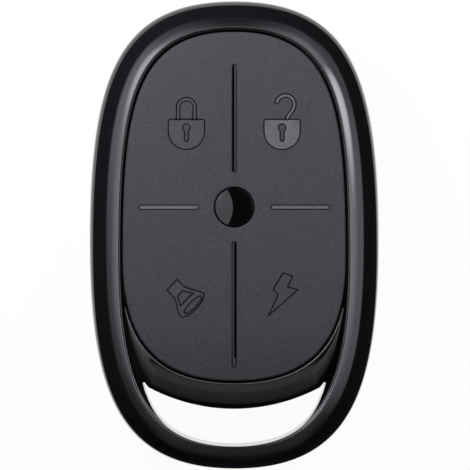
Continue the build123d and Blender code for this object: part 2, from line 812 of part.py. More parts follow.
with BuildPart() as saw_resonator:
    with BuildSketch(Plane.XY.offset(board_top)):
        with Locations((0, resonator_y)):
            Rectangle(resonator_size, resonator_size)
    extrude(amount=resonator_height)
    chamfer(saw_resonator.edges().group_by(Axis.Z)[-1], resonator_bevel)
saw_resonator.part.label = "saw_resonator"

with BuildPart() as antenna_loop:
    with BuildLine(Plane.XZ.offset(-antenna_y)) as wire_path:
        FilletPolyline((-antenna_half, board_top), (-antenna_half, board_top + antenna_rise),
                       (antenna_half, board_top + antenna_rise), (antenna_half, board_top),
                       radius=antenna_bend)
    with BuildSketch(Plane.XY.offset(board_top)):
        with Locations((-antenna_half, antenna_y)):
            Circle(antenna_wire_radius)
    sweep(path=wire_path.wires()[0])
antenna_loop.part.label = "antenna_loop"

with BuildPart() as smd_capacitors:
    with BuildSketch(Plane.XY.offset(board_top)):
        with Locations((bead_row_x, capacitor_row_y)):
            with GridLocations(bead_pitch, bead_pitch, 4, 1):
                Rectangle(bead_length, bead_width)
        with Locations((-encoder_bead_x, encoder_bead_y), (encoder_bead_x, encoder_bead_y)):
            Rectangle(bead_length, bead_width)
    extrude(amount=capacitor_height)
smd_capacitors.part.label = "smd_capacitors"

with BuildPart() as smd_resistors:
    with BuildSketch(Plane.XY.offset(board_top)):
        with Locations((bead_row_x, resistor_row_y)):
            with GridLocations(bead_pitch, bead_pitch, 4, 1):
                Rectangle(bead_length, bead_width)
        with Locations((-antenna_bead_x, antenna_bead_y), (antenna_bead_x, antenna_bead_y)):
            Rectangle(bead_length, bead_width)
    extrude(amount=resistor_height)
smd_resistors.part.label = "smd_resistors"

os.makedirs("parts", exist_ok=True)
pieces = [front_frame.part, rear_shell.part, key_deck.part, button_pad.part, pivot_collar.part,
          status_lens.part, circuit_board.part, keypad_mat.part, case_screws.part, switch_bases.part,
          switch_covers.part, snap_domes.part, coin_cell.part, battery_clip.part, battery_contact.part,
          status_led.part, encoder_chip, transmitter_chip, saw_resonator.part, antenna_loop.part,
          smd_capacitors.part, smd_resistors.part]
for piece in pieces + plungers:
    export_step(piece, "parts/" + piece.label + ".step")
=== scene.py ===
"""Looks of a four-key cloning remote control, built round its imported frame.

Sizes of the remote's pieces are millimetres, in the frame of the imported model: +Z out of the key face,
+Y away from the keyring loop, the flat back on Z = 0. Sizes of the studio and of grain are metres.
"""

import json
import logging
import math
from dataclasses import dataclass, field, replace
from enum import Enum, IntEnum
from functools import cache, cached_property

import bmesh
import bpy
import numpy as np
from bpy.types import ID, Material, Node, NodeOutputs, NodeSocket, NodeTree, Object
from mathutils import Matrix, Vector
from mathutils.geometry import delaunay_2d_cdt


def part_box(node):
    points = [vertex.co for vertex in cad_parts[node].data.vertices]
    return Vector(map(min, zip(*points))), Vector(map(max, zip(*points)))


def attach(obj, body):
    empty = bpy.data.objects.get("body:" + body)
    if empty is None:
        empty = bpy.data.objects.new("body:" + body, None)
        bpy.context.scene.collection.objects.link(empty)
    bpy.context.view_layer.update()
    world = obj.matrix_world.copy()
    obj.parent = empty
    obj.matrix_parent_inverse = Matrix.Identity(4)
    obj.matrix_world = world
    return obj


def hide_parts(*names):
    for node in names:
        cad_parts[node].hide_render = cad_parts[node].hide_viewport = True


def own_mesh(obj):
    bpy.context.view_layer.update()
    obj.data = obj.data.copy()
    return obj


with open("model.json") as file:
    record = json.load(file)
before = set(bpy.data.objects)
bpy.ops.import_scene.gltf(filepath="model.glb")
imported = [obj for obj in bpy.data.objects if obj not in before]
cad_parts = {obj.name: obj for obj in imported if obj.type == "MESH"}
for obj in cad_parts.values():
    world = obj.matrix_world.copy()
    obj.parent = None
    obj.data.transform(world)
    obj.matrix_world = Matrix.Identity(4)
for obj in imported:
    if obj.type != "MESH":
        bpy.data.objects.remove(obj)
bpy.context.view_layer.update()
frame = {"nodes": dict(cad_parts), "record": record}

Array = np.ndarray
Pair = tuple[float, float]
Triple = tuple[float, float, float]

LOG = logging.getLogger("remote_control")
MM = 0.001              # metres in a millimetre
CREASE = 28.0           # degrees; edges that turn by more stay crisp
ROUND_COUNT = 480       # points round the case
CORE_COUNT = 160        # points round the hollow in the case
DECK_COUNT = 60         # points on each stretch of the key deck's outline
TRACE_COUNT = 8000      # points round an outline that is only measured
DEEPEST_INSET = 9.0     # farthest that one oval is looked for inside another
HALVINGS = 44           # steps of that search
MERGE_REACH = 1e-5      # points nearer than this become one when a plan is filled
TINY = 1e-9             # stands in for a rise of 0, which nothing can be divided by
SHARPEST = 0.7          # keeps sharp corners from running away as their outline is moved
NOISE_RANGE = 0.3, 0.7  # where most of a noise texture's values lie
WHITE = (1.0, 1.0, 1.0, 1.0)


class Slot(Enum):
    """The record's material slots."""

    GLOSS_BLACK = "gloss_black"
    CASE_BLACK = "case_black"
    SOFT_PAD = "soft_pad"
    SMOKED_LENS = "smoked_lens"
    SOLDER_MASK = "solder_mask"
    SILICONE = "silicone"
    SCREW_STEEL = "screw_steel"
    SWITCH_RESIN = "switch_resin"
    SPRING_STEEL = "spring_steel"
    CELL_STEEL = "cell_steel"
    GILT_BRONZE = "gilt_bronze"
    LED_RESIN = "led_resin"
    CHIP_RESIN = "chip_resin"
    CAN_METAL = "can_metal"
    COPPER_WIRE = "copper_wire"
    CAPACITOR_CERAMIC = "capacitor_ceramic"
    NYLON = "nylon"
    PLUNGER_RESIN = "plunger_resin"


class Zone(IntEnum):
    """Parts of the pad's skin, in the order of its materials."""

    FACE = 0
    FLOOR = 1
    LINE = 2
    PAINTED_LIT_FLOOR = 3


class NodeSheet:
    """A node tree that is being wired, with short calls for its nodes."""

    def __init__(self, tree: NodeTree) -> None:
        """Start on a tree."""
        self.tree = tree

    @classmethod
    def of(cls, owner: ID) -> "NodeSheet":
        """Start on the emptied tree of a material or a world."""
        owner.use_nodes = True
        owner.node_tree.nodes.clear()
        return cls(owner.node_tree)

    def add(self, kind: str, inputs: dict[str | int, object] | None = None, **settings: object) -> Node:
        """Add a node, set its properties and feed its inputs.

        Args:
            kind: the node's type name.
            inputs: for each input a socket to link, a number or a colour.
            settings: properties of the node.

        Returns:
            The new node.
        """
        node = self.tree.nodes.new(kind)
        for name, value in settings.items():
            setattr(node, name, value)
        for name, value in (inputs or {}).items():
            if isinstance(value, NodeSocket):
                self.tree.links.new(value, node.inputs[name])
            else:
                node.inputs[name].default_value = value
        return node

    def math(self, operation: str, first: object, second: object = 0.0) -> NodeSocket:
        """Add a math node.

        Args:
            operation: the node's operation.
            first: a socket or a number.
            second: a socket or a number, where the operation takes two.

        Returns:
            The result's socket.
        """
        return self.add("ShaderNodeMath", {0: first, 1: second}, operation=operation).outputs[0]

    def place(self) -> NodeSocket:
        """Give the place on the object, in metres."""
        return self.add("ShaderNodeTexCoord").outputs["Object"]

    def stretched(self, vector: NodeSocket, scale: Triple, turn: Triple = (0.0, 0.0, 0.0)) -> NodeSocket:
        """Turn and stretch coordinates.

        Args:
            vector: the coordinates.
            scale: how much each axis is scaled.
            turn: angle about each axis, in radians.

        Returns:
            The new coordinates' socket.
        """
        inputs = {"Vector": vector, "Rotation": turn, "Scale": scale}
        return self.add("ShaderNodeMapping", inputs).outputs["Vector"]

    def noise(self, vector: NodeSocket, scale: object, detail: float, roughness: float = 0.5) -> NodeSocket:
        """Add a noise texture.

        Args:
            vector: the coordinates.
            scale: a socket or a number, in turns to the metre.
            detail: octaves.
            roughness: how strong the finer octaves are.

        Returns:
            The noise value's socket.
        """
        inputs = {"Vector": vector, "Scale": scale, "Detail": detail, "Roughness": roughness}
        return self.add("ShaderNodeTexNoise", inputs).outputs["Fac"]

    def bump(self, height: NodeSocket, depth: NodeSocket) -> NodeSocket:
        """Give the normal of a surface that a mask raises by depth."""
        return self.add("ShaderNodeBump", {"Height": height, "Distance": depth}).outputs["Normal"]

    def remap(self, value: NodeSocket, start: float, end: float, low: float = 0.0,
              high: float = 1.0, curve: str = "LINEAR") -> NodeSocket:
        """Carry a value from one range into another.

        Args:
            value: the socket that drives it.
            start: value that gives low.
            end: value that gives high, above start.
            low: first result.
            high: last result.
            curve: the node's kind of interpolation.

        Returns:
            The result's socket.
        """
        inputs = {"Value": value, "From Min": start, "From Max": end, "To Min": low, "To Max": high}
        return self.add("ShaderNodeMapRange", inputs, interpolation_type=curve).outputs["Result"]

    def blend(self, share: NodeSocket, first: NodeSocket, second: NodeSocket) -> NodeSocket:
        """Mix two shaders, where share is the second one's part."""
        return self.add("ShaderNodeMixShader", {"Fac": share, 1: first, 2: second}).outputs[0]

    def spread(self, mask: NodeSocket, low: float, high: float) -> NodeSocket:
        """Stretch a noise value to run from low to high."""
        return self.remap(mask, *NOISE_RANGE, low, high)

    def shade(self, mask: NodeSocket, low: Triple, high: Triple) -> NodeSocket:
        """Mix two colours by a mask.

        Args:
            mask: 0 gives low and 1 gives high.
            low: linear colour.
            high: linear colour.

        Returns:
            The colour's socket.
        """
        inputs = {"Factor": mask, "A": (*low, 1.0), "B": (*high, 1.0)}
        return self.add("ShaderNodeMix", inputs, data_type="RGBA").outputs["Result"]


class EffectGroups:
    """Shader node groups that several finishes share, each built when it is first asked for."""

    @cached_property
    def grain(self) -> NodeTree:
        """Fine moulded or sprayed grain, as two masks and a normal."""
        sheet, given = self._start("surface_grain", {"Scale": 6000.0, "Depth": 0.00002,
                                                     "Drift Scale": 120.0})
        place = sheet.place()
        grain = sheet.noise(place, given["Scale"], detail=3.0, roughness=0.6)
        drift = sheet.noise(place, given["Drift Scale"], detail=2.0)
        return self._publish(sheet, {"Grain": grain, "Drift": drift,
                                     "Normal": sheet.bump(grain, given["Depth"])})

    @cached_property
    def handling(self) -> NodeTree:
        """Faint smears and hairline marks of handling, as masks."""
        sheet, given = self._start("handling_marks", {"Smear Scale": 90.0, "Hairline Scale": 900.0})
        place = sheet.place()
        smear = sheet.noise(place, given["Smear Scale"], detail=4.0, roughness=0.55)
        drawn = sheet.stretched(place, scale=(1.0, 0.04, 1.0), turn=(0.3, 0.2, 0.7))
        lines = sheet.noise(drawn, given["Hairline Scale"], detail=2.0)
        return self._publish(sheet, {"Smear": smear, "Hairline": sheet.remap(lines, start=0.66, end=0.72)})

    @cached_property
    def brushing(self) -> NodeTree:
        """Drawn lines of rolled or turned metal, as a mask and a normal."""
        sheet, given = self._start("metal_brushing", {"Scale": 3000.0, "Depth": 0.000004})
        drawn = sheet.stretched(sheet.place(), scale=(1.0, 0.05, 1.0))
        lines = sheet.noise(drawn, given["Scale"], detail=4.0, roughness=0.7)
        return self._publish(sheet, {"Lines": lines, "Normal": sheet.bump(lines, given["Depth"])})

    def _start(self, name: str, inputs: dict[str, float]) -> tuple[NodeSheet, NodeOutputs]:
        """Make a group with its inputs.

        Args:
            name: the group's name.
            inputs: names and first values of its number inputs.

        Returns:
            The sheet, and the sockets that hold what the group is given.
        """
        tree = bpy.data.node_groups.new(name, "ShaderNodeTree")
        for label, value in inputs.items():
            socket = tree.interface.new_socket(name=label, in_out="INPUT", socket_type="NodeSocketFloat")
            socket.default_value = value
        sheet = NodeSheet(tree)
        return sheet, sheet.add("NodeGroupInput").outputs

    def _publish(self, sheet: NodeSheet, results: dict[str, NodeSocket]) -> NodeTree:
        """Give a group its outputs.

        Args:
            sheet: the group's tree.
            results: the sockets that it puts out, by name.

        Returns:
            The finished group.
        """
        for label, socket in results.items():
            kind = "NodeSocketVector" if socket.type == "VECTOR" else "NodeSocketFloat"
            sheet.tree.interface.new_socket(name=label, in_out="OUTPUT", socket_type=kind)
        sheet.add("NodeGroupOutput", results)
        return sheet.tree


EFFECTS = EffectGroups()


@dataclass(frozen=True)
class Finish:
    """A moulded or cast finish with a fine grain.

    Attributes:
        name: the material's name.
        dark: linear colour in the grain's hollows.
        light: linear colour on the grain's tops.
        roughness: lowest and highest roughness.
        grain_scale: grains to the metre.
        grain_depth: height of the grain in metres.
        metallic: 1 for bare metal.
        ior: index of refraction.
        coat: weight of a clear coat.
        coat_roughness: roughness of that coat.
        specular: strength of the plain reflection; 0.5 is that of the index alone.
    """

    name: str
    dark: Triple
    light: Triple
    roughness: Pair = (0.4, 0.5)
    grain_scale: float = 6000.0
    grain_depth: float = 0.00001
    metallic: float = 0.0
    ior: float = 1.5
    coat: float = 0.0
    coat_roughness: float = 0.02
    specular: float = 0.5

    @cache
    def material(self) -> Material:
        """Build the material when it is first asked for.

        Returns:
            The material.
        """
        material = bpy.data.materials.new(self.name)
        material.diffuse_color = (*self.light, 1.0)
        sheet = NodeSheet.of(material)
        plain = {"Metallic": self.metallic, "IOR": self.ior, "Specular IOR Level": self.specular,
                 "Coat Weight": self.coat, "Coat Roughness": self.coat_roughness}
        shader = sheet.add("ShaderNodeBsdfPrincipled", plain | self.surface(sheet))
        sheet.add("ShaderNodeOutputMaterial", {"Surface": shader.outputs["BSDF"]})
        return material

    def surface(self, sheet: NodeSheet) -> dict[str, NodeSocket]:
        """Wire what changes over the surface.

        Args:
            sheet: the material's tree.

        Returns:
            Sockets by the name of the shader's input that they feed.
        """
        grain = sheet.add("ShaderNodeGroup", {"Scale": self.grain_scale, "Depth": self.grain_depth},
                          node_tree=EFFECTS.grain).outputs
        speckle = sheet.spread(grain["Grain"], 0.0, 1.0)
        return {"Base Color": sheet.shade(speckle, self.dark, self.light),
                "Roughness": sheet.spread(grain["Drift"], *self.roughness), "Normal": grain["Normal"]}


@dataclass(frozen=True)
class PolishedFinish(Finish):
    """A mirror-gloss moulding with faint smears and hairlines."""

    smear_scale: float = 90.0

    def surface(self, sheet: NodeSheet) -> dict[str, NodeSocket]:
        """Wire the smears and hairlines, as in Finish."""
        marks = sheet.add("ShaderNodeGroup", {"Smear Scale": self.smear_scale},
                          node_tree=EFFECTS.handling).outputs
        smear = sheet.spread(marks["Smear"], *self.roughness)
        hairline = sheet.math("MULTIPLY", marks["Hairline"], self.roughness[1])
        return {"Base Color": sheet.shade(marks["Smear"], self.dark, self.light),
                "Roughness": sheet.math("ADD", smear, hairline)}


@dataclass(frozen=True)
class BrushedFinish(Finish):
    """Bare metal with drawn lines, with painted shade that darkens its hollows."""

    grain_depth: float = 0.000003
    metallic: float = 1.0
    line_scale: float = 3000.0
    painted_shade_reach: float = 0.0008
    painted_shade_samples: int = 8

    def surface(self, sheet: NodeSheet) -> dict[str, NodeSocket]:
        """Wire the drawn lines and the painted shade in the hollows, as in Finish."""
        lines = sheet.add("ShaderNodeGroup", {"Scale": self.line_scale, "Depth": self.grain_depth},
                          node_tree=EFFECTS.brushing).outputs
        metal = sheet.shade(lines["Lines"], self.dark, self.light)
        # Ambient occlusion darkens the metal's colour in its hollows, such as the screws' drive recesses:
        # painted shade.
        corners = sheet.add("ShaderNodeAmbientOcclusion", {"Color": metal, "Distance": self.painted_shade_reach},
                            only_local=True, samples=self.painted_shade_samples)
        return {"Base Color": corners.outputs["Color"],
                "Roughness": sheet.spread(lines["Lines"], *self.roughness), "Normal": lines["Normal"]}


FINISHES: dict[Slot, Finish] = {
    Slot.GLOSS_BLACK: PolishedFinish("gloss_black_moulding", (0.0044, 0.0045, 0.0056),
                                     (0.0064, 0.0066, 0.0080), roughness=(0.015, 0.045)),
    Slot.CASE_BLACK: PolishedFinish("gloss_black_back", (0.0048, 0.0049, 0.0060), (0.007, 0.0072, 0.0086),
                                    roughness=(0.05, 0.12), smear_scale=70.0),
    Slot.SOFT_PAD: Finish("soft_touch_skin", (0.030, 0.031, 0.036), (0.058, 0.060, 0.067),
                          roughness=(0.42, 0.48), grain_scale=5200.0, grain_depth=0.00011, specular=0.2),
    Slot.SMOKED_LENS: PolishedFinish(
        "smoked_lens", (0.001, 0.001, 0.0012), (0.0015, 0.0015, 0.002), roughness=(0.01, 0.02)),
    Slot.SOLDER_MASK: Finish("green_solder_mask", (0.008, 0.09, 0.03), (0.015, 0.13, 0.045),
                             roughness=(0.25, 0.35), grain_scale=900.0, coat=0.3),
    Slot.SILICONE: Finish(
        "grey_silicone", (0.28, 0.29, 0.3), (0.36, 0.37, 0.38), roughness=(0.5, 0.6), ior=1.41),
    Slot.SCREW_STEEL: BrushedFinish("plated_screw_steel", (0.32, 0.32, 0.33), (0.5, 0.5, 0.5),
                                    roughness=(0.22, 0.36), grain_depth=0.000004),
    Slot.SWITCH_RESIN: Finish("black_switch_resin", (0.02, 0.02, 0.02), (0.035, 0.035, 0.035)),
    Slot.SPRING_STEEL: BrushedFinish(
        "rolled_spring_steel", (0.45, 0.45, 0.45), (0.62, 0.62, 0.61), roughness=(0.2, 0.34)),
    Slot.CELL_STEEL: BrushedFinish(
        "satin_cell_steel", (0.5, 0.5, 0.51), (0.68, 0.68, 0.68), roughness=(0.25, 0.4)),
    Slot.GILT_BRONZE: BrushedFinish(
        "gilt_bronze_strip", (0.6, 0.42, 0.16), (0.8, 0.6, 0.28), roughness=(0.2, 0.32)),
    Slot.LED_RESIN: Finish("clear_lamp_resin", (0.7, 0.7, 0.6), (0.85, 0.85, 0.78), roughness=(0.15, 0.25)),
    Slot.CHIP_RESIN: Finish("chip_resin", (0.015, 0.015, 0.016), (0.03, 0.03, 0.032), roughness=(0.5, 0.6)),
    Slot.CAN_METAL: BrushedFinish(
        "plated_can", (0.5, 0.5, 0.48), (0.7, 0.69, 0.66), roughness=(0.15, 0.25), grain_depth=0.000002),
    Slot.COPPER_WIRE: BrushedFinish(
        "drawn_copper", (0.6, 0.28, 0.14), (0.78, 0.42, 0.24), roughness=(0.2, 0.32)),
    Slot.CAPACITOR_CERAMIC: Finish("capacitor_ceramic", (0.36, 0.25, 0.14), (0.48, 0.35, 0.21)),
    Slot.NYLON: Finish("natural_nylon", (0.46, 0.46, 0.43), (0.56, 0.56, 0.53), roughness=(0.35, 0.45)),
    Slot.PLUNGER_RESIN: Finish(
        "tan_plunger_resin", (0.28, 0.22, 0.15), (0.36, 0.3, 0.21), roughness=(0.35, 0.45)),
}
# Lighter colour on the rounded inner edges of the ring and of the apron: a painted highlight line along
# them.
EDGE_HIGHLIGHT_PAINT = PolishedFinish("painted_edge_highlight", (0.045, 0.045, 0.047), (0.08, 0.081, 0.083),
                           roughness=(0.1, 0.18), smear_scale=400.0)
# Lighter colour on the floors of the open padlock and of the grooves with no slit: painted light, for the
# light that falls on those floors.
PAINTED_LIT_FLOOR = Finish("painted_lit_engraved_floor", (0.072, 0.073, 0.077), (0.106, 0.107, 0.111),
                    roughness=(0.36, 0.46), grain_scale=700.0, grain_depth=0.00001)
ENGRAVED_FLOOR = Finish("smooth_engraved_floor", (0.042, 0.043, 0.048), (0.054, 0.055, 0.061),
                        roughness=(0.34, 0.4), grain_scale=9000.0, grain_depth=0.000008, specular=0.25)
# Near-black colour in the trenches round the symbols and in the slits of the grooves: painted shade of those
# recesses.
PAINTED_TRENCH_SHADE = Finish("painted_trench_shade", (0.005, 0.005, 0.006), (0.010, 0.010, 0.011),
                       roughness=(0.4, 0.46), grain_scale=9000.0, grain_depth=0.000008, specular=0.1)


def looks(*choices: Slot | Finish) -> list[Material]:
    """Give the materials of slots, and of finishes that have no slot of their own.

    Args:
        choices: slots of the record, or finishes.

    Returns:
        A material for each.
    """
    finishes = [FINISHES[choice] if isinstance(choice, Slot) else choice for choice in choices]
    return [finish.material() for finish in finishes]


@dataclass(frozen=True)
class Oval:
    """An oval drawn by four curves from its widest line to its two ends.

    Attributes:
        half_width: half of its width.
        top: its highest Y.
        bottom: its lowest Y.
        waist: Y of the widest line.
        rise_pull: handle of an upper curve at the waist, as a share of its height.
        top_pull: handle of an upper curve at the top, as a share of the half width.
        fall_pull: as rise_pull, for a lower curve.
        bottom_pull: as top_pull, for a lower curve.
    """

    half_width: float
    top: float
    bottom: float
    waist: float
    rise_pull: float
    top_pull: float
    fall_pull: float
    bottom_pull: float

    def grown(self, amount: float) -> "Oval":
        """Give the same oval, larger by amount on every side."""
        return replace(self, half_width=self.half_width + amount, top=self.top + amount,
                       bottom=self.bottom - amount)

    def _quarter(self, turn: Array, end: float, pull: float, end_pull: float) -> Array:
        """Give points of one right-hand curve, from the waist at 0 to the end at 1."""
        back = 1 - turn
        across = back ** 3 + 3 * back ** 2 * turn + 3 * back * turn ** 2 * end_pull
        along = 3 * back ** 2 * turn * pull + 3 * back * turn ** 2 + turn ** 3
        return np.stack([self.half_width * across, self.waist + (end - self.waist) * along], axis=1)

    def outline(self, count: int) -> Array:
        """Give points round the oval, anticlockwise from the right of the waist.

        Args:
            count: how many; a multiple of 4.

        Returns:
            X and Y of each point.
        """
        steps = count // 4
        turn = np.arange(steps) / steps
        upper = (self.top, self.rise_pull, self.top_pull)
        lower = (self.bottom, self.fall_pull, self.bottom_pull)
        mirror = np.array([-1.0, 1.0])
        return np.concatenate([self._quarter(turn, *upper), self._quarter(1 - turn, *upper) * mirror,
                               self._quarter(turn, *lower) * mirror, self._quarter(1 - turn, *lower)])

    def rays(self, count: int) -> tuple[Array, Array]:
        """Give points of the outline, and how far each moves as the oval shrinks by 1."""
        start = self.outline(count)
        return start, self.grown(-1.0).outline(count) - start

    def holds(self, points: Array) -> Array:
        """Say which points lie inside the oval.

        Args:
            points: X and Y of each point.

        Returns:
            True for each point inside.
        """
        edge = self.outline(TRACE_COUNT)
        angles = np.arctan2(edge[:, 1] - self.waist, edge[:, 0])
        order = np.argsort(angles)
        reach = np.hypot(edge[:, 0], edge[:, 1] - self.waist)[order]
        around = np.arctan2(points[:, 1] - self.waist, points[:, 0])
        limit = np.interp(around, angles[order], reach, period=2 * math.pi)
        return np.hypot(points[:, 0], points[:, 1] - self.waist) < limit

    def insets_to(self, inner: "Oval", count: int) -> Array:
        """Say how far each point of the outline moves, as the oval shrinks, to reach an inner oval.

        Args:
            inner: the inner oval.
            count: points round the outline.

        Returns:
            The distance of each point.
        """
        start, unit = self.rays(count)
        low, high = np.zeros(count), np.full(count, DEEPEST_INSET)
        for _ in range(HALVINGS):
            middle = (low + high) / 2
            inside = inner.holds(start + unit * middle[:, None])
            high = np.where(inside, middle, high)
            low = np.where(inside, low, middle)
        return (low + high) / 2


@dataclass
class SolidDraft:
    """Points in millimetres and faces, collected before they become one mesh.

    Attributes:
        points: the points.
        faces: point numbers of each face.
        finishes: which of the piece's materials each face takes.
    """

    points: list[Triple] = field(default_factory=list)
    faces: list[list[int]] = field(default_factory=list)
    finishes: list[int] = field(default_factory=list)

    def row(self, plan: Array, height: object) -> list[int]:
        """Add a row of points.

        Args:
            plan: X and Y of each point.
            height: Z of each point, or one Z for all.

        Returns:
            The points' numbers.
        """
        start = len(self.points)
        heights = np.broadcast_to(np.asarray(height, float), (len(plan),))
        self.points.extend((float(x), float(y), float(z)) for (x, y), z in zip(plan, heights))
        return list(range(start, len(self.points)))

    def face(self, corners: list[int], finish: int = 0) -> None:
        """Add one face."""
        self.faces.append(list(corners))
        self.finishes.append(finish)

    def band(self, rows: list[list[int]], closed: bool = True, finish: int = 0) -> None:
        """Join rows of equal length by four-sided faces.

        Args:
            rows: rows of point numbers, in order.
            closed: whether each row runs all the way round.
            finish: the material's number.
        """
        for first, second in zip(rows, rows[1:]):
            count = len(first)
            for at in range(count if closed else count - 1):
                after = (at + 1) % count
                self.face([first[at], first[after], second[after], second[at]], finish)

    def prism(self, plan: Array, foot: float, top: float) -> "SolidDraft":
        """Add an upright closed solid over an outline, and give the draft back."""
        low, high = self.row(plan, foot), self.row(plan, top)
        self.band([low, high])
        self.face(low[::-1])
        self.face(high)
        return self

    def turned(self, profile: list[Pair], centre: Pair,
               count: int = 96, closed: bool = True) -> "SolidDraft":
        """Add a solid of revolution about an upright axis.

        Args:
            profile: radius and height of each ring; a ring of radius 0 is one point.
            centre: X and Y of the axis.
            count: points round it.
            closed: whether the last ring is joined to the first.

        Returns:
            The draft.
        """
        angles = np.arange(count) * 2 * math.pi / count
        unit = np.stack([np.cos(angles), np.sin(angles)], axis=1)
        rings = [self.row(unit * radius + centre if radius > 0 else np.array([centre]), height)
                 for radius, height in profile]
        pairs = list(zip(rings, rings[1:]))
        if closed and len(rings[0]) > 1:
            pairs.append((rings[-1], rings[0]))
        for first, second in pairs:
            if len(first) == 1 or len(second) == 1:
                tip, ring = (first, second) if len(first) == 1 else (second, first)
                for at in range(len(ring)):
                    self.face([tip[0], ring[at], ring[(at + 1) % len(ring)]])
            else:
                self.band([first, second])
        return self

    def tube(self, inner: float, outer: float, foot: float, top: float, centre: Pair,
             count: int) -> "SolidDraft":
        """Add an upright tube, or a rod where inner is 0.

        Args:
            inner: radius of its bore.
            outer: its radius.
            foot: its lowest Z.
            top: its highest Z.
            centre: X and Y of the axis.
            count: points round it.

        Returns:
            The draft.
        """
        return self.turned([(inner, foot), (outer, foot), (outer, top), (inner, top)], centre, count)

    def block(self, low: Triple, high: Triple) -> "SolidDraft":
        """Add an upright block between two corners, and give the draft back."""
        plan = np.array([(low[0], low[1]), (high[0], low[1]), (high[0], high[1]), (low[0], high[1])])
        return self.prism(plan, low[2], high[2])

    def piece(self, name: str, materials: list[Material], crease: float = CREASE) -> Object:
        """Make the Blender object.

        Args:
            name: the object's name.
            materials: its materials, by finish number.
            crease: edges that turn by more than this many degrees stay crisp.

        Returns:
            The object, smooth-shaded.
        """
        mesh = bpy.data.meshes.new(name)
        mesh.from_pydata([(x * MM, y * MM, z * MM) for x, y, z in self.points], [], self.faces)
        for material in materials:
            mesh.materials.append(material)
        mesh.polygons.foreach_set("material_index", self.finishes)
        thing = bpy.data.objects.new(name, mesh)
        bpy.context.scene.collection.objects.link(thing)
        tidy_mesh(thing, crease)
        return thing


def tidy_mesh(thing: Object, crease: float = CREASE) -> None:
    """Turn all faces outward, shade them smoothly and keep the crisp edges.

    Args:
        thing: the object.
        crease: edges that turn by more than this many degrees stay crisp.
    """
    drawn = bmesh.new()
    drawn.from_mesh(thing.data)
    bmesh.ops.recalc_face_normals(drawn, faces=drawn.faces)
    drawn.to_mesh(thing.data)
    drawn.free()
    thing.data.polygons.foreach_set("use_smooth", [True] * len(thing.data.polygons))
    thing.data.set_sharp_from_angle(angle=math.radians(crease))
    thing.data.update()


def carve(thing: Object, hole: SolidDraft) -> None:
    """Cut a solid away from an object.

    Args:
        thing: the object that changes.
        hole: the solid to cut away.
    """
    tool = hole.piece(thing.name + "_tool", [])
    step = thing.modifiers.new("carve", "BOOLEAN")
    step.operation = "DIFFERENCE"
    step.solver = "EXACT"
    step.object = tool
    bpy.context.view_layer.update()
    cut = bpy.data.meshes.new_from_object(thing.evaluated_get(bpy.context.evaluated_depsgraph_get()))
    thing.modifiers.clear()
    old = thing.data
    thing.data = cut
    cut.name = thing.name
    bpy.data.meshes.remove(old)
    bpy.data.objects.remove(tool)
    tidy_mesh(thing)


def join(first: Object, second: Object) -> None:
    """Put an object's mesh into another one.

    Args:
        first: the object that keeps both meshes.
        second: the object that is dropped.
    """
    drawn = bmesh.new()
    drawn.from_mesh(first.data)
    drawn.from_mesh(second.data)
    drawn.to_mesh(first.data)
    drawn.free()
    bpy.data.objects.remove(second)


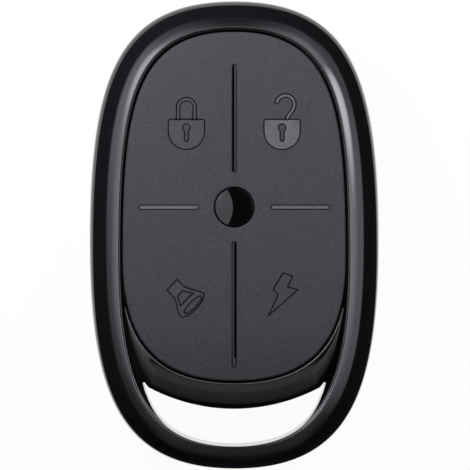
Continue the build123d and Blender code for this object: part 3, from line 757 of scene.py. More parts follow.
@dataclass
class Shape:
    """Sizes that several pieces share."""

    case_oval: Oval = Oval(19.197, 30.998, -30.997, -0.8, 0.686, 0.81, 0.663, 0.805)
    pad_oval: Oval = Oval(14.65, 26.68, -19.2, -3.1, 0.653, 0.907, 0.614, 0.749)
    step_oval: Oval = Oval(15.2, 27.23, -28.07, -3.1, 0.653, 0.907, 0.70, 0.745)
    core_oval: Oval = Oval(17.5, 29.3, -21.5, -2.0, 0.686, 0.81, 0.68, 0.56)
    step_width: float = 0.25
    parting_height: float = 5.0
    shelf_height: float = 8.3
    shelf_thickness: float = 1.0
    shelf_width: float = 1.3
    pad_gap: float = 0.3
    pad_underside: float = 9.85
    deck_nose_y: float = -22.93
    deck_nose_radius: float = 24.0
    deck_corner_x: float = 11.2
    deck_side_handle: float = 9.0
    deck_corner_handle: float = 1.3
    deck_wing_y: float = -9.6
    loop_top_y: float = -19.45
    loop_fade: float = 2.0
    loop_lean: float = 0.08
    loop_ledge: float = 0.75
    loop_ledge_bow: float = 1.5
    loop_ledge_end_y: float = -25.6
    loop_round_height: float = 10.6
    deck_top: float = 9.1
    pivot_y: float = 3.65
    key_x: float = 6.4
    key_reach: float = 11.6
    screw_places: tuple[Pair, ...] = ((-7.2, 20.8), (7.2, 20.8), (-8.4, -13.4), (8.4, -13.4))
    crown_height: float = 12.3
    crown_peak_y: float = 6.0
    crown_back_radius: float = 330.0
    crown_side_radius: float = 190.0
    crown_nose_start_y: float = -12.0
    crown_nose_radius: float = 38.0

    @property
    def wall_oval(self) -> Oval:
        """The ring's inner wall."""
        return self.step_oval.grown(-self.step_width)

    @property
    def pivot(self) -> Pair:
        """X and Y of the lens's middle, where the pad rocks."""
        return 0.0, self.pivot_y

    @property
    def key_places(self) -> tuple[Pair, ...]:
        """Centres of the arm, disarm, siren and flash keys."""
        return tuple((side * self.key_x, self.pivot_y + end * self.key_reach)
                     for end in (1, -1) for side in (-1, 1))

    def crown(self, plan: Array) -> Array:
        """Give the height of the surface that the pad and the apron share.

        Args:
            plan: X and Y of each point.

        Returns:
            Z of each point.
        """
        across, along = plan[:, 0], plan[:, 1]
        sag = self.crown_side_radius - np.sqrt(self.crown_side_radius ** 2 - across ** 2)
        turn = math.asin((self.crown_peak_y - self.crown_nose_start_y) / self.crown_back_radius)
        back_z = self.crown_height - self.crown_back_radius
        nose_y = self.crown_nose_start_y + self.crown_nose_radius * math.sin(turn)
        nose_z = back_z + (self.crown_back_radius - self.crown_nose_radius) * math.cos(turn)
        main = back_z + np.sqrt((self.crown_back_radius - sag) ** 2 - (along - self.crown_peak_y) ** 2)
        fall = np.clip((self.crown_nose_radius - sag) ** 2 - (along - nose_y) ** 2, 0.0, None)
        nose = nose_z + np.sqrt(fall)
        return np.where(along < self.crown_nose_start_y, nose, main)

    def deck_outline(self, grow: float, count: int) -> Array:
        """Give points round the key deck, anticlockwise from the right of the waist.

        Args:
            grow: how much larger than the drawn outline.
            count: points on each of its four stretches.

        Returns:
            X and Y of each point.
        """
        oval = self.pad_oval.grown(self.pad_gap + grow)
        top = oval.outline(4 * count)[:2 * count + 1]
        radius = self.deck_nose_radius + grow
        nose_y = self.deck_nose_y - grow
        slope = math.asin(self.deck_corner_x / self.deck_nose_radius)
        corner = np.array([radius * math.sin(slope), nose_y + radius - radius * math.cos(slope)])
        lean = np.array([math.cos(slope), math.sin(slope)]) * self.deck_corner_handle
        turn = (np.arange(1, count) / count)[:, None]
        edge = np.array([oval.half_width, oval.waist])
        hold = np.array([oval.half_width, oval.waist - self.deck_side_handle])
        side = ((1 - turn) ** 3 * edge + 3 * (1 - turn) ** 2 * turn * hold
                + 3 * (1 - turn) * turn ** 2 * (corner + lean) + turn ** 3 * corner)
        swing = np.linspace(-slope, slope, count)
        nose = np.stack([radius * np.sin(swing), nose_y + radius - radius * np.cos(swing)], axis=1)
        return np.concatenate([top, side * (-1, 1), nose, side[::-1]])

    def loop_inset(self, wall: Array, height: float) -> Array:
        """Say how far the loop's inner wall stands in at a height.

        Args:
            wall: points of the plain inner wall.
            height: Z of the cut.

        Returns:
            The distance at each point, which fades to 0 beside the pad.
        """
        in_loop = np.clip(1 - (wall[:, 1] - self.loop_top_y) / self.loop_fade, 0.0, 1.0)
        drop = min(max(1 - height / self.loop_round_height, 0.0), 1.0)
        length = self.loop_top_y - self.loop_ledge_end_y
        run = np.clip((wall[:, 1] - self.loop_ledge_end_y) / length, 0.0, 1.0)
        ledge = self.loop_ledge * run ** self.loop_ledge_bow if height < self.shelf_height else 0.0
        return (self.loop_lean * drop + ledge) * in_loop

    def loop_opening(self, count: int, height: float) -> Array:
        """Give points round the crescent opening of the keyring loop.

        Args:
            count: points on each of its two long sides.
            height: Z of the cut.

        Returns:
            X and Y of each point.
        """
        wall, unit = self.wall_oval.rays(TRACE_COUNT)
        wall = wall + unit * self.loop_inset(wall, height)[:, None]
        deck = self.deck_outline(0.0, TRACE_COUNT // 4)
        sides = []
        for outline in (wall, deck):
            low = outline[outline[:, 1] < self.loop_top_y]
            low = low[np.argsort(low[:, 0])]
            at = np.linspace(-1.0, 1.0, count) * self._meet(outline)
            sides.append(np.stack([at, np.interp(at, low[:, 0], low[:, 1])], axis=1))
            sides[-1][[0, -1], 1] = self.loop_top_y
        return np.concatenate([sides[0], sides[1][::-1]])

    def _meet(self, outline: Array) -> float:
        """Say where an outline's right side crosses the top line of the loop opening."""
        right = outline[(outline[:, 0] > self.deck_corner_x / 2) & (outline[:, 1] < self.deck_wing_y)]
        right = right[np.argsort(right[:, 1])]
        return float(np.interp(self.loop_top_y, right[:, 1], right[:, 0]))

    def core(self, foot: float, top: float, inset: float = 0.0) -> SolidDraft:
        """Give the hollow in the case, as a solid to cut away.

        Args:
            foot: its lowest Z.
            top: its highest Z.
            inset: how much smaller it is on every side.

        Returns:
            The solid.
        """
        return SolidDraft().prism(self.core_oval.grown(-inset).outline(CORE_COUNT), foot, top)


SHAPE = Shape()


def ease_in(share: Array) -> Array:
    """Smooth a share that goes from 0 to 1."""
    return share * share * (3 - 2 * share)


def ease(count: int) -> list[Pair]:
    """Give shares of a rounded edge: how far in it still lies, and how far it has dropped."""
    turns = [math.radians(90.0 * step / count) for step in range(count + 1)]
    return [(1 - math.sin(turn), 1 - math.cos(turn)) for turn in turns]


def cap(bow: float, top: float, reach: float, rings: int) -> list[Pair]:
    """Give radius and height of rings on a ball's cap, from its top outward.

    Args:
        bow: the ball's radius.
        top: the cap's highest Z.
        reach: radius of the last ring.
        rings: rings after the one of radius 0.

    Returns:
        The rings.
    """
    radii = [reach * at / rings for at in range(rings + 1)]
    return [(radius, top - bow + math.sqrt(bow ** 2 - radius ** 2)) for radius in radii]


@dataclass
class FrontFrame:
    """Glossy ring, its inner shelf and the upper half of the keyring loop."""

    seam_bevel: float = 0.07
    side_height: float = 2.6
    side_draft: float = 0.15
    side_shares: tuple[float, ...] = (0.33, 0.66)
    round_width: float = 5.2
    round_height: float = 4.15
    round_rows: int = 36
    step_drop: float = 0.43
    step_round: float = 0.16
    step_round_least: float = 0.004
    step_round_share: float = 0.7
    step_rows: int = 3
    wall_round: float = 0.17
    wall_rows: int = 5
    wall_straight_z: float = 9.4
    loop_round: float = 0.34
    loop_fall: float = 0.16
    loop_blend: float = 3.0
    loop_middle_z: float = 6.6
    ledge_sink: float = 0.01
    ledge_bevel: float = 0.12
    ledge_brink_share: float = 0.85
    overlap: float = 0.15
    rim_count: int = 320
    corner_overlap: float = 0.05
    spare: float = 1.0
    crisp: float = 0.001

    @property
    def brow(self) -> float:
        """Z where the side ends and the rounded top begins."""
        return SHAPE.parting_height + self.side_height

    def surface(self, inset: Array) -> Array:
        """Give the height of the rounded top at an inset from the case's side."""
        left = np.clip((self.round_width + self.side_draft - inset) / self.round_width, 0.0, 1.0)
        return self.brow + self.round_height * np.sqrt(1 - left ** 2)

    def build(self) -> Object:
        """Make the piece.

        Returns:
            The object.
        """
        start, unit = SHAPE.case_oval.rays(ROUND_COUNT)
        step = SHAPE.case_oval.insets_to(SHAPE.step_oval, ROUND_COUNT)
        wall = SHAPE.case_oval.insets_to(SHAPE.wall_oval, ROUND_COUNT)
        floor = self.brow + self.round_height - self.step_drop
        lip = np.clip((self.surface(step) - floor) * self.step_round_share, self.step_round_least,
                      self.step_round)
        inner = start + unit * wall[:, None]
        in_loop = np.clip((SHAPE.loop_top_y - inner[:, 1]) / self.loop_blend, 0.0, 1.0)
        wide = self.wall_round + (self.loop_round - self.wall_round) * in_loop
        fall = self.wall_round + (self.loop_fall - self.wall_round) * in_loop
        parting, foot = SHAPE.parting_height, SHAPE.parting_height + self.seam_bevel
        draft = SolidDraft()
        rows = []

        def lay(inset: object, height: object) -> None:
            """Add one row at an inset and a height."""
            insets = np.broadcast_to(np.asarray(inset, float), (ROUND_COUNT,))
            rows.append(draft.row(start + unit * insets[:, None], height))

        def lay_wall(height: float) -> None:
            """Add one row of the inner wall."""
            lay(wall + SHAPE.loop_inset(inner, height), height)

        lay(self.seam_bevel, parting)
        lay(0.0, foot)
        for share in self.side_shares:
            lay(self.side_draft * share, foot + (self.side_height - self.seam_bevel) * share)
        last = np.arccos(np.clip(1 - (step - lip - self.side_draft) / self.round_width, -1, 1))
        for at in range(self.round_rows + 1):
            turn = last * at / self.round_rows
            lay(self.side_draft + self.round_width * (1 - np.cos(turn)),
                self.brow + self.round_height * np.sin(turn))
        highlight_row = len(rows) - 1
        top = self.surface(step - lip)
        for short, drop in ease(self.step_rows)[1:]:
            lay(step - lip * short, top - lip * drop)
        lay(step, np.minimum(self.surface(step) - lip, floor) - self.crisp)
        edge = wall - wide
        for inset in ((step * 2 + edge) / 3, (step + edge * 2) / 3):
            lay(inset, np.minimum(self.surface(inset), floor))
        brink = np.minimum(self.surface(edge), floor)
        for short, drop in ease(self.wall_rows):
            lay(wall - wide * short, brink - fall * drop)
        shelf = SHAPE.shelf_height
        lay_wall(self.wall_straight_z)
        lay_wall(shelf)
        below = SHAPE.loop_inset(inner, shelf - self.ledge_sink)
        lay(wall + below * self.ledge_brink_share, shelf - self.crisp)
        for height in (shelf - self.ledge_bevel, self.loop_middle_z, foot):
            lay_wall(height)
        lay(wall - self.seam_bevel + SHAPE.loop_inset(inner, parting), parting)
        draft.band(rows[:highlight_row + 1])
        # The step's rounded lip takes the painted edge highlight.
        draft.band(rows[highlight_row:highlight_row + self.step_rows + 1], finish=1)
        draft.band(rows[highlight_row + self.step_rows:] + rows[:1])
        ring = draft.piece("front_frame_shell", looks(Slot.GLOSS_BLACK, EDGE_HIGHLIGHT_PAINT))
        core = SHAPE.core(parting - self.spare, shelf - SHAPE.shelf_thickness)
        carve(ring, core)
        join(ring, self._shelf(core))
        tidy_mesh(ring)
        return ring

    def _shelf(self, core: SolidDraft) -> Object:
        """Make the shelf under the key deck and the wall under its nose.

        Args:
            core: the hollow under the shelf.

        Returns:
            The object.
        """
        outer = SHAPE.wall_oval.grown(self.overlap).outline(self.rim_count)
        upper = outer[outer[:, 1] > SHAPE.loop_top_y]
        right, left = upper[upper[:, 0] >= 0], upper[upper[:, 0] < 0]
        right, left = right[np.argsort(right[:, 1])], left[np.argsort(-left[:, 1])]
        nose = SHAPE.deck_outline(0.0, DECK_COUNT)
        nose = nose[nose[:, 1] < SHAPE.loop_top_y]
        nose = nose[np.argsort(nose[:, 0])]
        corner = np.array([[right[0][0], SHAPE.loop_top_y]])
        deck_corner = np.array([[nose[-1][0] + self.corner_overlap, SHAPE.loop_top_y]])
        mirror = (-1, 1)
        plan = np.concatenate([corner, right, left, corner * mirror, deck_corner * mirror, nose,
                               deck_corner])
        body = SolidDraft().prism(plan, SHAPE.parting_height, SHAPE.shelf_height)
        shelf = body.piece("front_frame_shelf", looks(Slot.GLOSS_BLACK))
        carve(shelf, core)
        seat = SHAPE.deck_outline(-SHAPE.shelf_width, DECK_COUNT)
        under = SHAPE.shelf_height - SHAPE.shelf_thickness - self.spare / 2
        carve(shelf, SolidDraft().prism(seat, under, SHAPE.shelf_height + self.spare))
        return shelf


@dataclass
class RearShell:
    """Lower half of the case, with the wells of its screws."""

    seam_bevel: float = 0.07
    floor: float = 1.3
    round_width: float = 3.4
    straight: float = 0.65
    round_rows: int = 24
    opening_count: int = 200
    lip_width: float = 0.6
    lip_height: float = 0.8
    lip_foot_drop: float = 0.3
    lip_clearance: float = 0.05
    column_radius: float = 2.1
    column_top: float = 5.2
    column_cap: float = 0.5
    column_count: int = 64
    head_radius: float = 1.75
    head_depth: float = 1.1
    hole_radius: float = 1.0
    spare: float = 1.0

    def build(self) -> Object:
        """Make the piece.

        Returns:
            The object.
        """
        shell = self._case()
        parting = SHAPE.parting_height
        opening = SolidDraft()
        rows = [opening.row(SHAPE.loop_opening(self.opening_count, height), height)
                for height in (-self.spare, parting + self.spare)]
        opening.band(rows)
        opening.face(rows[0][::-1])
        opening.face(rows[1])
        wells, inside = SolidDraft(), SolidDraft()
        well_top = self.floor + self.column_cap
        for place in SHAPE.screw_places:
            wells.turned([(0.0, -self.spare), (self.head_radius, -self.spare),
                          (self.head_radius, self.head_depth), (self.hole_radius, self.head_depth),
                          (self.hole_radius, well_top), (0.0, well_top)], place, self.column_count)
            inside.tube(self.hole_radius, self.column_radius, self.head_depth, self.column_top, place,
                        self.column_count)
        hollow = SHAPE.core(self.floor, parting + self.spare, self.lip_clearance + self.lip_width)
        for solid in (opening, hollow, wells):
            carve(shell, solid)
        outer, inner = self.lip_clearance, self.lip_clearance + self.lip_width
        foot, top = parting - self.lip_foot_drop, parting + self.lip_height
        lip = [inside.row(SHAPE.core_oval.grown(-inset).outline(CORE_COUNT), height)
               for inset, height in ((outer, foot), (outer, top), (inner, top), (inner, foot))]
        inside.band(lip + lip[:1])
        join(shell, inside.piece("rear_shell_inside", looks(Slot.CASE_BLACK)))
        tidy_mesh(shell)
        return shell

    def _case(self) -> Object:
        """Make the solid half case, with its rounded back edge.

        Returns:
            The object.
        """
        parting, drop = SHAPE.parting_height, SHAPE.parting_height - self.straight
        steps = [(self.seam_bevel, parting), (0.0, parting - self.seam_bevel)]
        for at in range(self.round_rows + 1):
            turn = math.radians(90.0 * at / self.round_rows)
            steps.append((self.round_width * (1 - math.cos(turn)), drop * (1 - math.sin(turn))))
        draft = SolidDraft()
        rows = [draft.row(SHAPE.case_oval.grown(-inset).outline(ROUND_COUNT), height)
                for inset, height in steps]
        draft.band(rows)
        draft.face(rows[0])
        draft.face(rows[-1][::-1])
        return draft.piece("rear_shell_case", looks(Slot.CASE_BLACK))


@dataclass
class KeyDeck:
    """Glossy apron below the pad, and the plate under the pad."""

    clearance: float = 0.05
    inner_round: float = 0.16
    inner_round_share: float = 0.3
    inner_rows: int = 4
    outer_round: float = 0.25
    outer_round_share: float = 0.45
    outer_rows: int = 8
    middle_rows: int = 16
    roll_width: float = 2.4
    roll_share: float = 0.75
    roll_drop: float = 0.6
    columns: int = 280
    edge_count: int = 1200
    fan_y: float = -5.0
    foot_drop: float = 0.2
    plate_gap: float = 0.01
    window_radius: float = 1.8
    window_foot: float = 7.0
    window_top: float = 12.0
    boss_radius: float = 3.3
    boss_top: float = 10.95
    boss_count: int = 64
    bore_radius: float = 2.3
    screw_boss_radius: float = 1.8
    screw_boss_sink: float = 0.2
    screw_hole_radius: float = 0.87
    screw_boss_foot: float = 6.2
    screw_hole_top: float = 8.0
    hole_count: int = 48

    def _stretch(self, outline: Array) -> Array:
        """Give evenly spaced points of an outline's part below the wings, from left to right."""
        low = outline[outline[:, 1] < SHAPE.deck_wing_y]
        low = low[np.argsort(np.arctan2(low[:, 0], -(low[:, 1] - self.fan_y)))]
        steps = np.concatenate([[0.0], np.cumsum(np.hypot(*np.diff(low, axis=0).T))])
        at = np.linspace(0.0, steps[-1], self.columns)
        return np.stack([np.interp(at, steps, low[:, 0]), np.interp(at, steps, low[:, 1])], axis=1)

    def build(self) -> Object:
        """Make the piece.

        Returns:
            The object.
        """
        apron = self._apron()
        join(apron, self._plate())
        join(apron, self._bosses())
        tidy_mesh(apron)
        return apron

    def _apron(self) -> Object:
        """Make the glossy apron.

        Returns:
            The object.
        """
        inner = self._stretch(SHAPE.pad_oval.grown(SHAPE.pad_gap).outline(TRACE_COUNT // 2))
        outer = self._stretch(SHAPE.deck_outline(-self.clearance, self.edge_count))
        width = np.hypot(*(outer - inner).T)
        inner_share = np.minimum(self.inner_round / width, self.inner_round_share)
        outer_share = np.minimum(self.outer_round / width, self.outer_round_share)
        reach = np.minimum(self.roll_width, self.roll_share * width)
        draft = SolidDraft()
        rows = [draft.row(inner, SHAPE.deck_top - self.foot_drop)]

        def lay(share: Array, drop: object) -> None:
            """Add one row at a share of the way out, dropped below the crown and its rolled edge."""
            plan = inner + (outer - inner) * share[:, None]
            roll = np.clip(1 - (1 - share) * width / reach, 0.0, 1.0) ** 2 * self.roll_drop
            rows.append(draft.row(plan, SHAPE.crown(plan) - drop - roll * reach / self.roll_width))

        for short, drop in reversed(ease(self.inner_rows)):
            lay(inner_share * short, inner_share * width * drop)
        for at in range(1, self.middle_rows):
            lay(inner_share + (1 - inner_share - outer_share) * at / self.middle_rows, 0.0)
        for short, drop in ease(self.outer_rows):
            lay(1 - outer_share * short, outer_share * width * drop)
        rows.append(draft.row(outer, SHAPE.shelf_height))
        rows.append(draft.row(inner, SHAPE.shelf_height))
        highlight_row = self.inner_rows + 1
        draft.band(rows[:2], closed=False)
        # The rounded inner edge next to the pad takes the painted edge highlight.
        draft.band(rows[1:highlight_row + 1], closed=False, finish=1)
        draft.band(rows[highlight_row:] + rows[:1], closed=False)
        for end in (0, -1):
            draft.face([row[end] for row in rows])
        return draft.piece("key_deck_apron", looks(Slot.GLOSS_BLACK, EDGE_HIGHLIGHT_PAINT))

    def _plate(self) -> Object:
        """Make the plate, with a window for each key's post and a bore for the lens.

        Returns:
            The object.
        """
        plan = SHAPE.deck_outline(-self.clearance - self.plate_gap, DECK_COUNT)
        draft = SolidDraft().prism(plan, SHAPE.shelf_height + self.plate_gap, SHAPE.deck_top)
        plate = draft.piece("key_deck_plate", looks(Slot.GLOSS_BLACK))
        holes = SolidDraft()
        for place in SHAPE.key_places:
            holes.tube(0.0, self.window_radius, self.window_foot, self.window_top, place, self.hole_count)
        holes.tube(0.0, self.bore_radius, self.window_foot, self.window_top, SHAPE.pivot, self.hole_count)
        carve(plate, holes)
        return plate

    def _bosses(self) -> Object:
        """Make the boss round the lens's stem and those that the screws bite into.

        Returns:
            The object.
        """
        draft = SolidDraft()
        draft.tube(self.bore_radius, self.boss_radius, SHAPE.shelf_height, self.boss_top, SHAPE.pivot,
                   self.boss_count)
        top = SHAPE.shelf_height + self.screw_boss_sink
        for place in SHAPE.screw_places:
            draft.turned([(0.0, top), (self.screw_boss_radius, top),
                          (self.screw_boss_radius, self.screw_boss_foot),
                          (self.screw_hole_radius, self.screw_boss_foot),
                          (self.screw_hole_radius, self.screw_hole_top), (0.0, self.screw_hole_top)],
                         place, self.hole_count)
        return draft.piece("key_deck_bosses", looks(Slot.GLOSS_BLACK))


@dataclass
class Engraving:
    """One closed outline that is cut into the pad.

    Attributes:
        rings: outlines from the pad's face inward, each with its depth.
        spine: open points on the floor, for a groove.
        island: whether the outline is of a part left standing in a sunken symbol.
        floor: depth of the spine.
        painted_light: whether the floor takes a lighter colour, painted light for the light that falls on
            it.
        brink: which of the rings bounds that floor.
    """

    rings: list[tuple[Array, float]]
    spine: Array | None = None
    island: bool = False
    floor: float = 0.0
    painted_light: bool = False
    brink: int = 3

    @property
    def bounds(self) -> list[tuple[Array, Zone]]:
        """Outlines from the widest inward, each with the zone that begins there."""
        # The trench along each outline and the slits take the near-black zone: painted shade of those
        # recesses.
        outlines = [ring for ring, _ in self.rings]
        if self.island:
            return [(outlines[-1], Zone.LINE), (outlines[0], Zone.FACE)]
        # A floor marked for painted light takes the lighter zone.
        floor = Zone.PAINTED_LIT_FLOOR if self.painted_light else Zone.FLOOR
        slit = [(outline, Zone.LINE) for outline in outlines[self.brink + 1:]]
        return [(outlines[0], Zone.LINE), (outlines[self.brink], floor), *slit]


def inside_polygon(points: Array, ring: Array) -> Array:
    """Say which points lie inside a closed outline.

    Args:
        points: X and Y of each point.
        ring: corners of the outline.

    Returns:
        True for each point inside.
    """
    inside = np.zeros(len(points), bool)
    for first, second in zip(ring, np.roll(ring, -1, axis=0)):
        crosses = (first[1] > points[:, 1]) != (second[1] > points[:, 1])
        rise = second[1] - first[1]
        reach = first[0] + (second[0] - first[0]) * (points[:, 1] - first[1]) / (rise or TINY)
        inside ^= crosses & (points[:, 0] < reach)
    return inside


def zones_of(points: Array, engravings: list[Engraving]) -> Array:
    """Say in which zone of the pad each point lies.

    Args:
        points: X and Y of each point.
        engravings: what is cut into the pad.

    Returns:
        The zone of each point.
    """
    zones = np.full(len(points), Zone.FACE, int)
    for outline, zone in (bound for engraving in engravings for bound in engraving.bounds):
        zones[inside_polygon(points, outline)] = zone
    return zones


def shifted(ring: Array, amount: float) -> Array:
    """Move a closed outline inward by amount, or outward where amount is negative.

    Args:
        ring: corners, anticlockwise or clockwise.
        amount: distance.

    Returns:
        The moved corners.
    """
    before, after = ring - np.roll(ring, 1, axis=0), np.roll(ring, -1, axis=0) - ring
    area = np.sum(ring[:, 0] * np.roll(ring[:, 1], -1) - np.roll(ring[:, 0], -1) * ring[:, 1])
    side = 1.0 if area > 0 else -1.0
    normals = []
    for run in (before, after):
        unit = run / np.hypot(run[:, 0], run[:, 1])[:, None]
        normals.append(np.stack([-unit[:, 1], unit[:, 0]], axis=1) * side)
    half = normals[0] + normals[1]
    scale = 2.0 / np.clip(np.sum(half * half, axis=1), SHARPEST, None)
    return ring + half * (scale * amount)[:, None]


def arc(centre: Pair, radius: float, start: float, end: float, count: int) -> list[Pair]:
    """Give points of an arc.

    Args:
        centre: its centre.
        radius: its radius.
        start: first angle in degrees.
        end: last angle in degrees.
        count: number of points.

    Returns:
        The points.
    """
    return [(centre[0] + radius * math.cos(math.radians(a)), centre[1] + radius * math.sin(math.radians(a)))
            for a in np.linspace(start, end, count)]


def ribbon(line: Array, width: float) -> Array:
    """Give the outline of a band of even width along an open line."""
    run = np.gradient(line, axis=0)
    unit = run / np.hypot(run[:, 0], run[:, 1])[:, None]
    side = np.stack([-unit[:, 1], unit[:, 0]], axis=1) * width / 2
    return np.concatenate([line + side, (line - side)[::-1]])


def dense(ring: Array, step: float) -> Array:
    """Add points along the long edges of a closed outline."""
    out = []
    for first, second in zip(ring, np.roll(ring, -1, axis=0)):
        parts = max(1, int(round(math.dist(first, second) / step)))
        out.extend(first + (second - first) * at / parts for at in range(parts))
    return np.array(out)


def loop_edges(first: int, count: int) -> list[tuple[int, int]]:
    """Give the edges of a closed outline whose points are numbered from first."""
    return [(first + at, first + (at + 1) % count) for at in range(count)]


def triangulated(plan: Array, edges: list[tuple[int, int]]) -> tuple[Array, list, list]:
    """Fill a plan with triangles that keep its edges.

    Args:
        plan: X and Y of each point.
        edges: pairs of point numbers.

    Returns:
        The filled plan's points, point numbers of each face, and for each point the numbers of those
        that it was made from.
    """
    flat = [Vector((float(x), float(y))) for x, y in plan]
    points, _, faces, origins, _, _ = delaunay_2d_cdt(flat, edges, [], 0, MERGE_REACH, True)
    return np.array([(point.x, point.y) for point in points]), faces, origins


@dataclass
class KeySymbols:
    """The four key symbols: closed padlock, open padlock, horn and lightning bolt."""

    trench: tuple[Pair, ...] = ((-0.07, 0.0), (-0.04, 0.24), (0.06, 0.24), (0.10, 0.12))
    point_gap: float = 0.3
    lock_shift: float = 0.12
    lock_drop: float = 0.05
    lock_half: float = 2.4
    lock_shoulder: float = 1.6
    lock_corner: float = 0.3
    lock_counts: tuple[int, int] = (6, 25)
    keyhole_drop: float = 1.17
    keyhole_radius: float = 0.48
    keyhole_foot_drop: float = 2.68
    keyhole_foot_radius: float = 0.25
    keyhole_turn: Pair = (-60.0, 240.0)
    keyhole_counts: tuple[int, int] = (17, 9)
    shackle_width: float = 0.48
    shackle_sink: float = 0.02
    shackle_radius: float = 1.09
    shackle_leg: float = 0.9
    shackle_rise: float = 1.54
    shackle_count: int = 21
    open_radius: float = 1.17
    open_foot_x: float = 0.56
    open_elbow: Pair = (1.0, 0.67)
    open_centre: Pair = (0.45, 1.95)
    open_turn: Pair = (-36.0, 175.0)
    horn_shell: tuple[Pair, ...] = (
        (-1.14, 2.14), (-2.44, 0.74), (-1.34, -0.51), (-0.92, -2.35), (-0.65, -2.74), (-0.3, -2.85),
        (0.26, -2.64), (0.95, -2.2), (1.6, -1.6), (2.1, -0.9), (2.4, -0.25), (2.46, 0.12), (2.28, 0.4),
        (1.8, 0.56), (0.9, 0.78), (0.0, 1.09))
    horn_cone: tuple[Pair, ...] = ((-0.3, 0.7), (-1.05, -0.1), (-0.6, -1.55), (0.9, 0.0), (1.3, 0.3))
    cone_size: float = 0.86
    cone_shift: Pair = (-0.12, 0.02)
    mouth_half: Pair = (1.55, 0.42)
    mouth_lean: float = 45.0
    mouth_centre: Pair = (0.98, -1.2)
    mouth_count: int = 28
    bolt: tuple[Pair, ...] = (
        (0.03, 3.0), (1.3, 2.55), (0.62, 1.15), (1.98, 0.78), (-1.98, -2.75), (-0.62, 0.2), (-1.32, 0.82))

    def build(self) -> list[Engraving]:
        """Give the symbols' outlines, each with the rings of the trench along it.

        Returns:
            The outlines.
        """
        arm, disarm, siren, flash = SHAPE.key_places
        closed = self._padlock((arm[0] + self.lock_shift, arm[1]), is_open=False)
        opened = self._padlock((disarm[0] - self.lock_shift, disarm[1]), is_open=True)
        return [*closed, *opened, *self._horn(siren), self._cut(np.array(self.bolt) + flash)]

    def _cut(self, ring: Array, island: bool = False, painted_light: bool = False) -> Engraving:
        """Lay the trench along an outline.

        Args:
            ring: corners of the outline.
            island: whether it is of a part left standing.
            painted_light: whether its floor takes the lighter colour of painted light.

        Returns:
            The engraving.
        """
        even = dense(ring, self.point_gap)
        side = -1.0 if island else 1.0
        return Engraving([(shifted(even, side * inset), depth) for inset, depth in self.trench],
                         island=island, painted_light=painted_light)

    def _padlock(self, centre: Pair, is_open: bool) -> list[Engraving]:
        """Give a padlock's outlines.

        Args:
            centre: its centre.
            is_open: whether the shackle has swung out.

        Returns:
            Body, keyhole and shackle.
        """
        x, top = centre[0], centre[1] - self.lock_drop
        half, corner = self.lock_half, self.lock_corner
        few, many = self.lock_counts
        body = arc((x - half + corner, top - corner), corner, 90, 180, few)
        body += arc((x, top - self.lock_shoulder), half, 180, 360, many)
        body += arc((x + half - corner, top - corner), corner, 0, 90, few)
        many, few = self.keyhole_counts
        keyhole = arc((x, centre[1] - self.keyhole_drop), self.keyhole_radius, *self.keyhole_turn, many)
        keyhole += arc((x, centre[1] - self.keyhole_foot_drop), self.keyhole_foot_radius, 180, 360, few)
        foot = top - self.shackle_sink
        if is_open:
            line = [(x + self.open_foot_x, foot), (x + self.open_elbow[0], top + self.open_elbow[1])]
            line += arc((x + self.open_centre[0], top + self.open_centre[1]), self.open_radius,
                        *self.open_turn, self.shackle_count)
        else:
            left, right, bend = x - self.shackle_radius, x + self.shackle_radius, top + self.shackle_leg
            line = [(left, foot), (left, bend)]
            line += arc((x, top + self.shackle_rise), self.shackle_radius, 180, 0, self.shackle_count)
            line += [(right, bend), (right, foot)]
        # The open padlock's floors take the painted light.
        return [self._cut(np.array(body), painted_light=is_open), self._cut(np.array(keyhole), island=True),
                self._cut(ribbon(np.array(line), self.shackle_width), painted_light=is_open)]

    def _horn(self, centre: Pair) -> list[Engraving]:
        """Give a horn's outlines.

        Args:
            centre: its centre.

        Returns:
            Shell, cone and mouth.
        """
        cone = np.array(self.horn_cone) * self.cone_size + self.cone_shift + centre
        turn = np.linspace(0.0, 2 * math.pi, self.mouth_count, endpoint=False)
        flat = np.stack([self.mouth_half[0] * np.cos(turn), self.mouth_half[1] * np.sin(turn)], axis=1)
        lean = math.radians(self.mouth_lean)
        spun = flat @ np.array([[math.cos(lean), math.sin(lean)], [-math.sin(lean), math.cos(lean)]])
        return [self._cut(np.array(self.horn_shell) + centre), self._cut(cone, island=True),
                self._cut(spun + self.mouth_centre + centre, island=True)]


